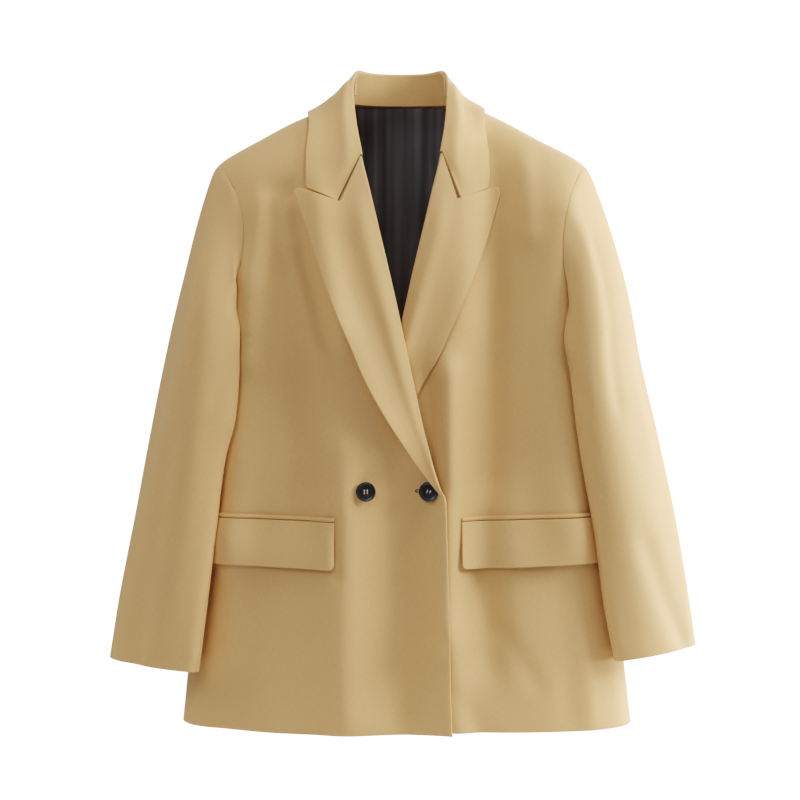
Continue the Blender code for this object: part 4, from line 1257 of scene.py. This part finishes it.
def make_sleeves():
    """Makes the top and the under half of both sleeves."""
    stations = sleeve_stations()
    half_gap = math.radians(SLEEVE_SEAM_TURN)
    for name, side in SIDES:
        armhole = Armhole(side)
        front = armhole.turn_at(SLEEVE_FRONT_SEAM_Z, False)
        rear = armhole.turn_at(SLEEVE_BACK_SEAM_Z, True)
        all_round = sleeve_grid(armhole, name, np.linspace(0, 6.2, 24), stations)
        centre = all_round.mean(axis=1, keepdims=True)
        for part, start, end, columns in (("top", rear, front + 2 * math.pi, 150),
                                          ("under", front, rear, 84)):
            turns = np.linspace(start + half_gap, end - half_gap, columns)
            grid = sleeve_grid(armhole, name, turns, stations)
            cut_cloth(f"{name}_{part}_sleeve", f"{part}_sleeve_{name}", grid, grid - centre,
                      cloth("panel"), RIM_SINGLE, 0.7)


def make_lapels():
    """Makes both lapels, each with its rolled fold."""
    for name, side in SIDES:
        grid, thickness, radius = lapel_sheet(name, side)
        grid, thickness = rolled(grid, thickness, grid * LEVEL, radius)
        cut_cloth(name + "_lapel", "lapel_" + name, grid, grid * LEVEL, thickness, RIM_PAIR, 1.0)


def make_collar():
    """Makes the collar's turned fall and its stand."""
    sheet, outward = collar_grid()
    grid, thickness = rolled(sheet, np.full(sheet.shape[:2], cloth("facing")), outward, ROLL_RADIUS)
    cut_cloth("collar_turned_fall", "collar_fall", grid, grid - COLLAR_MIDDLE, thickness,
              RIM_PAIR, 1.0)
    grid = stand_grid()
    cut_cloth("collar_inner_stand", "collar_stand", grid, grid - STAND_MIDDLE, cloth("panel"),
              RIM_SINGLE, 0.7)


def make_pockets():
    """Makes both flaps and the welts over them."""
    for name, side in SIDES:
        grid = flap_grid(name, side)
        cut_cloth(name + "_pocket_flap", "flap_" + name, grid, grid * LEVEL, cloth("flap"),
                  RIM_PAIR, 1.1)
        grid, thickness = welt_grid(name, side)
        cut_cloth(name + "_pocket_welt", "welt_" + name, grid, grid * LEVEL, thickness,
                  RIM_SINGLE, 0.5)


# ---------------------------------------------------------------- buttons
def only(first, *others):
    """Selects these objects and no other, with the first one active."""
    bpy.ops.object.select_all(action="DESELECT")
    for thing in (first, *others):
        thing.select_set(True)
    bpy.context.view_layer.objects.active = first


def edit(piece):
    """Opens one piece, and nothing else, in edit mode."""
    only(piece)
    bpy.ops.object.mode_set(mode="EDIT")


def choose(piece, kind, test):
    """In edit mode, selects only the verts, edges or faces whose middle passes the test."""
    bpy.ops.mesh.select_mode(type={"verts": "VERT", "edges": "EDGE", "faces": "FACE"}[kind])
    bpy.ops.mesh.select_all(action="DESELECT")
    shape = bmesh.from_edit_mesh(piece.data)
    for part in getattr(shape, kind):
        corners = [part.co] if kind == "verts" else [corner.co for corner in part.verts]
        part.select_set(bool(test(sum(corners, Vector()) / len(corners))))
    shape.select_flush_mode()
    bmesh.update_edit_mesh(piece.data)


def hole_places():
    """Middles of a button's four holes."""
    half = sizes().hole_spacing / 2
    return [Vector((across * half, up * half, 0.0)) for across in (-1, 1) for up in (-1, 1)]


def turned_button():
    """One button, face up, with its middle at the origin."""
    radius, top, dish = sizes().button_width / 2, sizes().button_height / 2, sizes().button_dish
    bpy.ops.mesh.primitive_cylinder_add(vertices=96, radius=radius, depth=2 * top)
    button = bpy.context.object
    edit(button)
    # the raised rim, the slope inside it, and the dished face
    choose(button, "faces", lambda middle: middle.z > top - TINY)
    bpy.ops.mesh.inset(thickness=sizes().button_rim - 0.9 * MM, depth=0)
    bpy.ops.mesh.inset(thickness=0.9 * MM, depth=-0.6 * dish)
    bpy.ops.mesh.inset(thickness=1.6 * MM, depth=-0.4 * dish)
    # both edges of the rim, then the back's edge
    choose(button, "edges",
           lambda middle: middle.z > top - TINY and middle.xy.length > 0.8 * radius)
    bpy.ops.mesh.bevel(offset=0.35 * MM, segments=4, affect="EDGES")
    choose(button, "edges",
           lambda middle: middle.z < TINY - top and middle.xy.length > 0.9 * radius)
    bpy.ops.mesh.bevel(offset=0.8 * MM, segments=4, affect="EDGES")
    bpy.ops.object.mode_set(mode="OBJECT")

    drills, mouth = [], sizes().hole_width / 2
    for place in hole_places():
        bpy.ops.mesh.primitive_cylinder_add(vertices=32, radius=mouth, depth=4 * top,
                                            location=place)
        drills.insert(0, bpy.context.object)
    only(*drills)
    bpy.ops.object.join()
    drill = bpy.context.object
    only(button)
    cut = button.modifiers.new("holes", "BOOLEAN")
    cut.operation, cut.solver, cut.object = "DIFFERENCE", "EXACT", drill
    bpy.ops.object.modifier_apply(modifier=cut.name)
    bpy.data.objects.remove(drill, do_unlink=True)

    def at_mouth(middle):
        """Whether an edge's middle is on the upper rim of a hole."""
        near = min((middle - Vector((0, 0, middle.z)) - place).length for place in hole_places())
        return abs(middle.z - (top - dish)) < 1e-5 and abs(near - mouth) < 0.05 * MM

    edit(button)
    choose(button, "edges", at_mouth)
    bpy.ops.mesh.bevel(offset=0.18 * MM, segments=3, affect="EDGES")
    bpy.ops.object.mode_set(mode="OBJECT")
    bpy.ops.object.shade_smooth_by_angle(angle=math.radians(32))
    return button


def thread_strand():
    """One strand of thread that comes up through a hole and goes down through the one below."""
    half, face = sizes().hole_spacing / 2, sizes().button_height / 2 - sizes().button_dish
    bpy.ops.curve.primitive_bezier_curve_add()
    strand = bpy.context.object
    shape = strand.data
    shape.bevel_depth, shape.bevel_resolution, shape.resolution_u = sizes().thread_width / 2, 3, 16
    shape.use_fill_caps = True
    for point, way in zip(shape.splines[0].bezier_points, (1, -1)):
        point.handle_left_type = point.handle_right_type = "FREE"
        # from inside a hole up over the face, and down into the other hole
        point.co = (0.0, way * half, face - 1.3 * MM)
        point.handle_left = point.handle_right = (0.0, way * half, face + 1.15 * MM)
    bpy.ops.object.convert(target="MESH")
    return bpy.context.object


def copy_of(pattern):
    """A copy of an object with a mesh of its own."""
    copy = pattern.copy()
    copy.data = pattern.data.copy()
    bpy.context.scene.collection.objects.link(copy)
    return copy


def button_stitches(strand):
    """Strands side by side over both pairs of holes, as one mesh; the middle ones lie on top."""
    spacing = sizes().thread_width * 0.95
    copies = []
    for pair in (place.x for place in hole_places() if place.y > 0):
        for across in (-1, 0, 1):
            copies.append(copy_of(strand))
            copies[-1].location = (pair + across * spacing, 0.0, 0.12 * MM * (across == 0))
    only(*copies)
    bpy.ops.object.join()
    bpy.ops.object.transform_apply()
    bpy.ops.object.shade_smooth()
    return bpy.context.object


def place_on_front(piece, name, turn):
    """Sets a button, or what is on it, at its place on the right front."""
    x, half = BUTTON_X[name], sizes().button_width / 2 / MM
    seat, raised = front_point(x, BUTTON_Z, np.array((0.0, 1.0)), True)
    facing = Vector(raised - seat).normalized()
    round_it = np.linspace(0, 2 * math.pi, 24)
    rim = front_point(x + half * np.cos(round_it), BUTTON_Z + half * np.sin(round_it), 0.0, True)
    stand_off = float(np.max((rim - seat) @ np.array(facing))) + BUTTON_GAP
    piece.location = Vector(seat) * MM + facing * (stand_off * MM + sizes().button_height / 2)
    upright = Vector((0, 0, 1)).rotation_difference(facing)
    piece.rotation_mode = "QUATERNION"
    piece.rotation_quaternion = upright @ Quaternion((0, 0, 1), level_turn(upright) + turn)
    only(piece)
    bpy.ops.object.transform_apply()


def level_turn(upright):
    """Turn about its own axis that brings a button's y axis upright once it faces forward."""
    up = upright.inverted() @ Vector((0, 0, 1))
    return math.atan2(-up.x, up.y)


def buttonhole():
    """The sewn edge of the hole behind the closing button, laid on the right front.

    A ring of thread is drawn out to the hole's length, and flattened."""
    bpy.ops.mesh.primitive_torus_add(major_segments=64, minor_segments=10, major_radius=1.3 * MM,
                                     minor_radius=0.75 * MM)
    hole = bpy.context.object
    edit(hole)
    for way in (-1, 1):
        choose(hole, "verts", lambda middle: way * middle.x > TINY / 10)
        bpy.ops.transform.translate(value=(way * (BUTTONHOLE_LENGTH / 2 - 2.0) * MM, 0, 0))
    bpy.ops.mesh.select_all(action="SELECT")
    bpy.ops.transform.resize(value=(1.0, 1.0, 0.55))
    bpy.ops.object.mode_set(mode="OBJECT")
    flat = np.array([corner.co for corner in hole.data.vertices]) / MM
    x, z = BUTTONHOLE_X + flat[:, 0], BUTTON_Z + flat[:, 1]
    laid = front_point(x, z, flat[:, 2] + 0.1, True) * MM
    hole.data.vertices.foreach_set("co", laid.ravel())
    hole.data.update()
    bpy.ops.object.shade_smooth()
    return hole


def make_buttons():
    """Makes both buttons with their stitches, and the buttonhole."""
    pattern, strand = turned_button(), thread_strand()
    for name, turn in BUTTON_TURN.items():
        button = copy_of(pattern)
        button.name = name.replace("button_", "") + "_button"
        place_on_front(button, name, turn)
        finish_piece(button, name, "resin")
        stitches = button_stitches(strand)
        stitches.name = button.name + "_stitches"
        place_on_front(stitches, name, turn)
        dress(stitches, "button_thread")
    for spare in (pattern, strand):
        bpy.data.objects.remove(spare, do_unlink=True)
    hole = buttonhole()
    hole.name = "closing_buttonhole"
    dress(hole, "hole_thread")


# ---------------------------------------------------------------- stage
def add_light(name, turn, height, size, power):
    """A round softbox aimed at the middle of the blazer."""
    turn, height = math.radians(turn), math.radians(height)
    level = math.cos(height)
    way = Vector((math.sin(turn) * level, -math.cos(turn) * level, math.sin(height)))
    bpy.ops.object.light_add(type="AREA", location=Vector(MIDDLE) + way * LIGHT_DISTANCE)
    light = bpy.context.object
    light.name = name
    light.data.shape, light.data.size, light.data.energy = "DISK", size, power
    light.rotation_euler = way.to_track_quat("Z", "Y").to_euler()


def make_stage():
    """Makes the floor, the lights, the world and the camera."""
    bpy.ops.mesh.primitive_cylinder_add(vertices=128, radius=FLOOR_RADIUS, depth=FLOOR_HEIGHT,
                                        location=(0, 0, FLOOR_Z))
    floor = bpy.context.object
    floor.name = "studio_floor"
    edit(floor)
    choose(floor, "edges", lambda middle: middle.z > 0.98 * FLOOR_HEIGHT / 2
           and middle.xy.length > 0.98 * FLOOR_RADIUS)
    bpy.ops.mesh.bevel(offset=0.004, segments=3, affect="EDGES")
    bpy.ops.object.mode_set(mode="OBJECT")
    bpy.ops.object.transform_apply()
    floor.data.materials.append(material_of("floor"))

    for light in LIGHTS:
        add_light(*light)

    world = bpy.data.worlds.new("studio")
    world.use_nodes = True
    tree = world.node_tree
    tree.nodes.clear()
    rays = add_node(tree, "ShaderNodeLightPath").outputs["Is Camera Ray"]
    strength = add_node(tree, "ShaderNodeMapRange",
                        {0: rays, 3: WORLD_LIGHT, 4: FILM_WHITE}).outputs[0]
    ground = add_node(tree, "ShaderNodeBackground", {"Color": (1.0,) * 4, "Strength": strength})
    add_node(tree, "ShaderNodeOutputWorld", {"Surface": ground.outputs[0]})
    bpy.context.scene.world = world
    settings = bpy.context.scene.view_settings
    settings.view_transform = "Standard"
    settings.use_curve_mapping = True
    film = settings.curve_mapping
    film.white_level = (FILM_WHITE,) * 3
    for light, shown in FILM_CURVE:
        film.curves[3].points.new(light / FILM_WHITE, shown)
    film.update()

    bpy.ops.object.camera_add(location=CAMERA_PLACE, rotation=(math.pi / 2, 0, 0))
    camera = bpy.context.object
    camera.name = "studio_camera"
    camera.data.lens, camera.data.sensor_width = CAMERA_LENS, 36.0
    bpy.context.scene.camera = camera


# ---------------------------------------------------------------- operators and panel
class BLAZER_OT_fronts(bpy.types.Operator):
    """Makes the two fronts"""
    bl_idname = "blazer.make_fronts"
    bl_label = "Make fronts"

    def execute(self, context):
        make_fronts()
        return {"FINISHED"}


class BLAZER_OT_back(bpy.types.Operator):
    """Makes the back and its lining"""
    bl_idname = "blazer.make_back"
    bl_label = "Make back and lining"

    def execute(self, context):
        make_back()
        make_lining()
        return {"FINISHED"}


class BLAZER_OT_sleeves(bpy.types.Operator):
    """Makes the top and under halves of both sleeves"""
    bl_idname = "blazer.make_sleeves"
    bl_label = "Make sleeves"

    def execute(self, context):
        make_sleeves()
        return {"FINISHED"}


class BLAZER_OT_lapels(bpy.types.Operator):
    """Makes the two peaked lapels"""
    bl_idname = "blazer.make_lapels"
    bl_label = "Make lapels"

    def execute(self, context):
        make_lapels()
        return {"FINISHED"}


class BLAZER_OT_collar(bpy.types.Operator):
    """Makes the collar's turned fall and its stand"""
    bl_idname = "blazer.make_collar"
    bl_label = "Make collar"

    def execute(self, context):
        make_collar()
        return {"FINISHED"}


class BLAZER_OT_pockets(bpy.types.Operator):
    """Makes the pocket flaps and the welts over them"""
    bl_idname = "blazer.make_pockets"
    bl_label = "Make pockets"

    def execute(self, context):
        make_pockets()
        return {"FINISHED"}


class BLAZER_OT_buttons(bpy.types.Operator):
    """Makes the two buttons, their stitches and the buttonhole"""
    bl_idname = "blazer.make_buttons"
    bl_label = "Make buttons"

    def execute(self, context):
        make_buttons()
        return {"FINISHED"}


class BLAZER_OT_stage(bpy.types.Operator):
    """Makes the floor, the lights and the camera"""
    bl_idname = "blazer.make_stage"
    bl_label = "Make stage"

    def execute(self, context):
        make_stage()
        return {"FINISHED"}


OPERATORS = (BLAZER_OT_fronts, BLAZER_OT_back, BLAZER_OT_sleeves, BLAZER_OT_lapels,
             BLAZER_OT_collar, BLAZER_OT_pockets, BLAZER_OT_buttons, BLAZER_OT_stage)


class BLAZER_PT_pieces(bpy.types.Panel):
    """Sizes and colours of the blazer, and a button for each group of its pieces"""
    bl_idname = "BLAZER_PT_pieces"
    bl_label = "Double breasted blazer"
    bl_space_type = "VIEW_3D"
    bl_region_type = "UI"
    bl_category = "Blazer"

    def draw(self, context):
        for group in (context.scene.blazer_sizes, context.scene.blazer_colours):
            box = self.layout.box()
            for prop in type(group).__annotations__:
                box.prop(group, prop)
        for operator in OPERATORS:
            self.layout.operator(operator.bl_idname)


CLASSES = (BlazerSizes, BlazerColours) + OPERATORS + (BLAZER_PT_pieces,)


def register():
    """Adds the sizes, colours, operators and panel to Blender."""
    for kind in CLASSES:
        bpy.utils.register_class(kind)
    bpy.types.Scene.blazer_sizes = bpy.props.PointerProperty(type=BlazerSizes)
    bpy.types.Scene.blazer_colours = bpy.props.PointerProperty(type=BlazerColours)


def unregister():
    """Takes them out again."""
    del bpy.types.Scene.blazer_colours
    del bpy.types.Scene.blazer_sizes
    for kind in reversed(CLASSES):
        bpy.utils.unregister_class(kind)


def main():
    """Builds the blazer and its stage."""
    register()
    for step in ("fronts", "back", "sleeves", "lapels", "collar", "pockets", "buttons", "stage"):
        getattr(bpy.ops.blazer, "make_" + step)()


if __name__ == "__main__":
    main()
